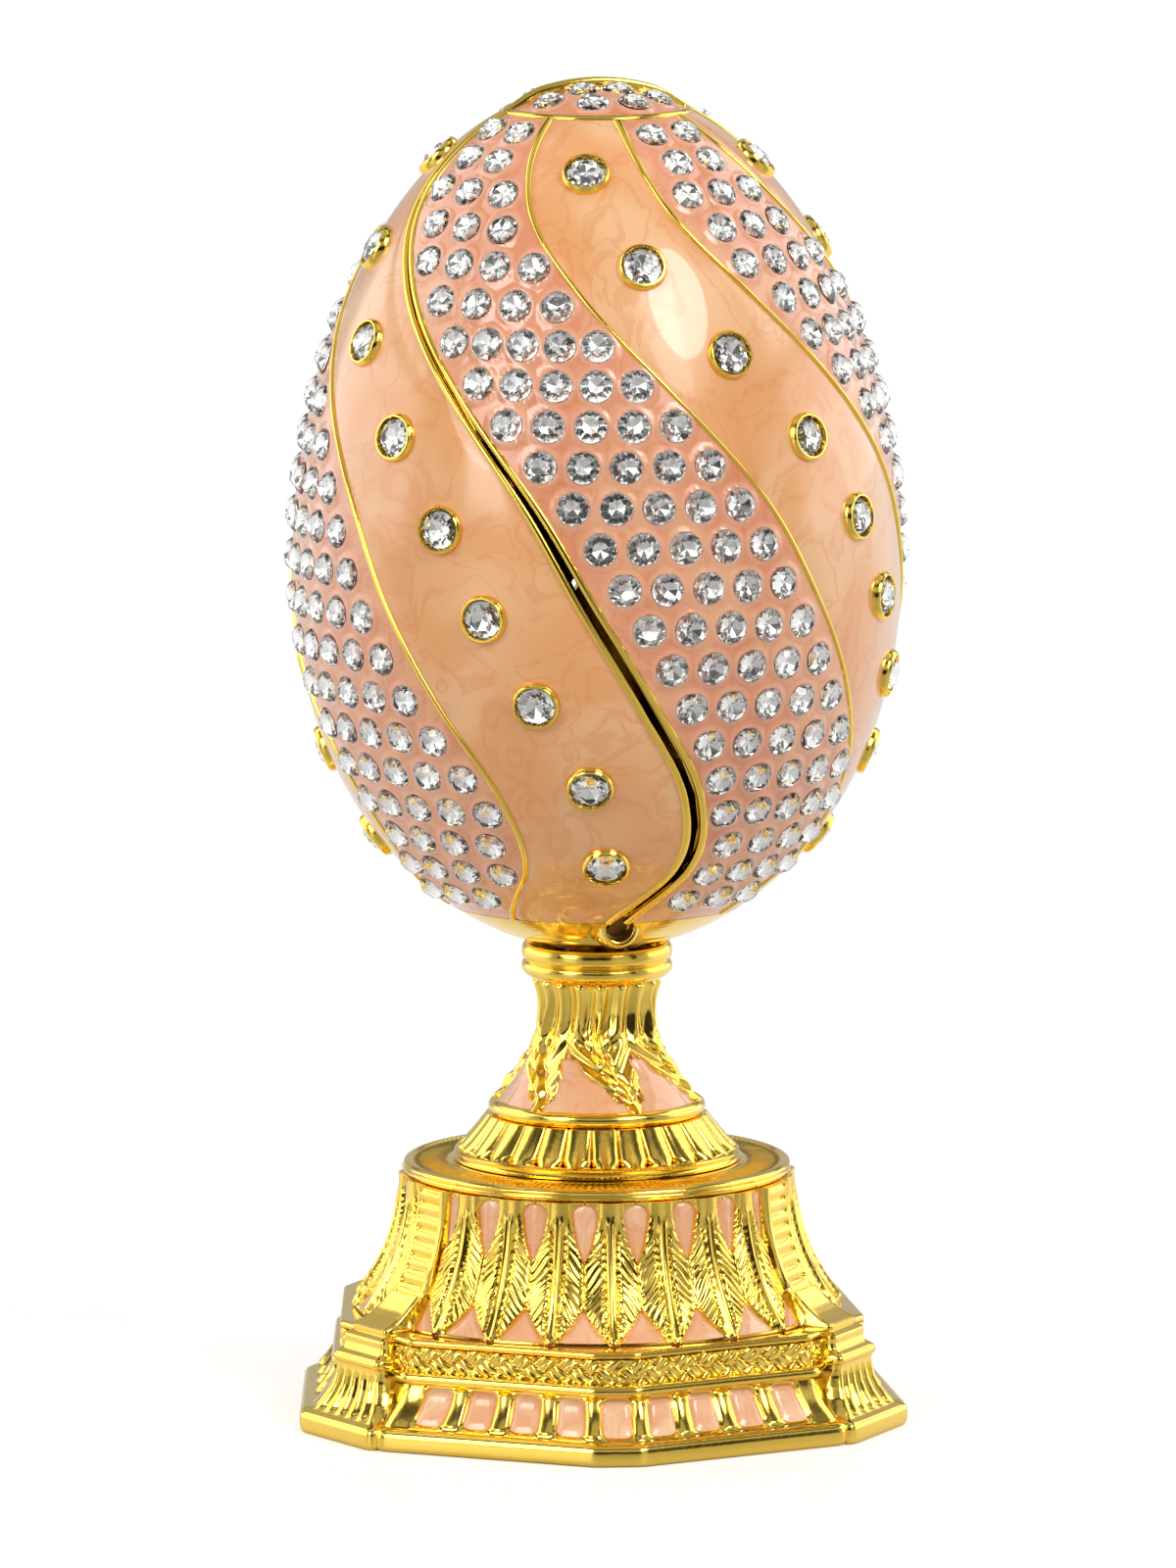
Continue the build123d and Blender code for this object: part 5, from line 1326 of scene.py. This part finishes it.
def make_world():
    """Even light for matt surfaces, and a white room with dark stretches for reflections."""
    world = bpy.data.worlds.new("studio")
    bpy.context.scene.world = world
    recipe = Recipe(world)
    way = recipe.node("TexCoord", output="Generated")
    x, y, z = [recipe.node("SeparateXYZ", inputs={0: way}, output=axis) for axis in "XYZ"]
    azimuth = recipe.node("Math", {"operation": "ARCTAN2"}, {0: x, 1: 0.0 - y})

    def stretch(value, centre, half, soft):
        """1 within a half width of a centre, 0 beyond it, with soft edges."""
        return 1.0 - recipe.level(recipe.away(value, centre), half - soft, half + soft)

    def panel(across, upward):
        return stretch(azimuth, *across) * stretch(z, *upward)

    # each stretch: its centre, its half width and the softness of its edge
    dark = recipe.largest(
        panel((-0.08, 0.42, 0.10), (0.08, 0.26, 0.05)),
        panel((-1.10, 0.09, 0.04), (0.25, 0.45, 0.08)),
        panel((0.95, 0.09, 0.04), (0.3, 0.5, 0.08)),
        stretch(z, 0.80, 0.08, 0.03) * 0.9,
        stretch(z, 0.34, 0.03, 0.02) * 0.85)
    boxes = recipe.largest(
        panel((-0.80, 0.17, 0.05), (0.45, 0.34, 0.06)), panel((0.52, 0.16, 0.05), (0.58, 0.24, 0.06)))
    sides = recipe.largest(
        panel((-1.98, 0.55, 0.10), (0.3, 0.6, 0.1)), panel((1.98, 0.55, 0.10), (0.3, 0.6, 0.1)))
    room = recipe.mix(boxes, recipe.mix(sides, grey(0.5), grey(2.0)), grey(3.2))
    room = recipe.mix(dark, room, grey(0.02))
    bars = recipe.level(recipe.node("Math", {"operation": "SINE"}, {0: azimuth * 5.0}), 0.66, 0.78) * 0.9
    sparkle = recipe.mix(recipe.largest(dark, bars), (1.4, 1.4, 1.36, 1.0), grey(0.02))
    lit = recipe.node("Background", inputs={"Color": grey(1.0), "Strength": 0.70})
    for ray, light in (("Glossy", room), ("Transmission", sparkle), ("Camera", grey(1.0))):
        seen = recipe.node("LightPath", output=f"Is {ray} Ray")
        shown = recipe.node("Background", inputs={"Color": light, "Strength": 1.0})
        lit = recipe.node("MixShader", inputs={0: seen, 1: lit, 2: shown})
    recipe.node("OutputWorld", inputs={"Surface": lit})


def direction(azimuth, elevation):
    """Unit vector towards a place in the studio, given by its angles in degrees."""
    tilt = np.radians(elevation)
    return Vector(round_axis(np.cos(tilt), np.sin(tilt), azimuth).tolist())


def make_lamp(name, azimuth, elevation, strength, spread):
    """Distant soft lamp, given by where it stands and how wide it looks, in degrees."""
    light = bpy.data.lights.new(name, "SUN")
    light.energy, light.angle = strength, np.radians(spread)
    lamp = bpy.data.objects.new(name, light)
    lamp.rotation_mode = "QUATERNION"
    lamp.rotation_quaternion = direction(azimuth, elevation).to_track_quat("Z", "Y")
    bpy.context.scene.collection.objects.link(lamp)


make_floor()
make_world()
make_lamp("key_lamp", 42.0, 42.0, 0.90, 24.0)
make_lamp("fill_lamp", -50.0, 30.0, 0.62, 30.0)

# %% [markdown]
# ## Camera
# The camera stands far away with a long lens, a little above the object and slightly to its left, as
# the ellipses of the rings and the place of the front nose in the photograph show.

# %% Camera
CAMERA_TURN, CAMERA_TILT = -4.0, 8.5
# metres: distance from the target, height of the target, and how far to the left it lies
CAMERA_DISTANCE, TARGET_HEIGHT, TARGET_ASIDE = 1.893, 0.07666, 0.00107
camera_data = bpy.data.cameras.new("camera")
camera_data.sensor_fit, camera_data.sensor_width, camera_data.lens = "AUTO", 36.0, 360.0
camera_data.clip_start, camera_data.clip_end = 0.05, 50.0
camera = bpy.data.objects.new("camera", camera_data)
bpy.context.scene.collection.objects.link(camera)
bpy.context.scene.camera = camera
back = direction(CAMERA_TURN, CAMERA_TILT)
aside = direction(CAMERA_TURN + 90.0, 0.0) * TARGET_ASIDE
camera.rotation_mode = "QUATERNION"
camera.location = Vector((0.0, 0.0, TARGET_HEIGHT)) - aside + back * CAMERA_DISTANCE
camera.rotation_quaternion = (-back).to_track_quat("-Z", "Y")
bpy.context.scene.view_settings.view_transform = "Standard"
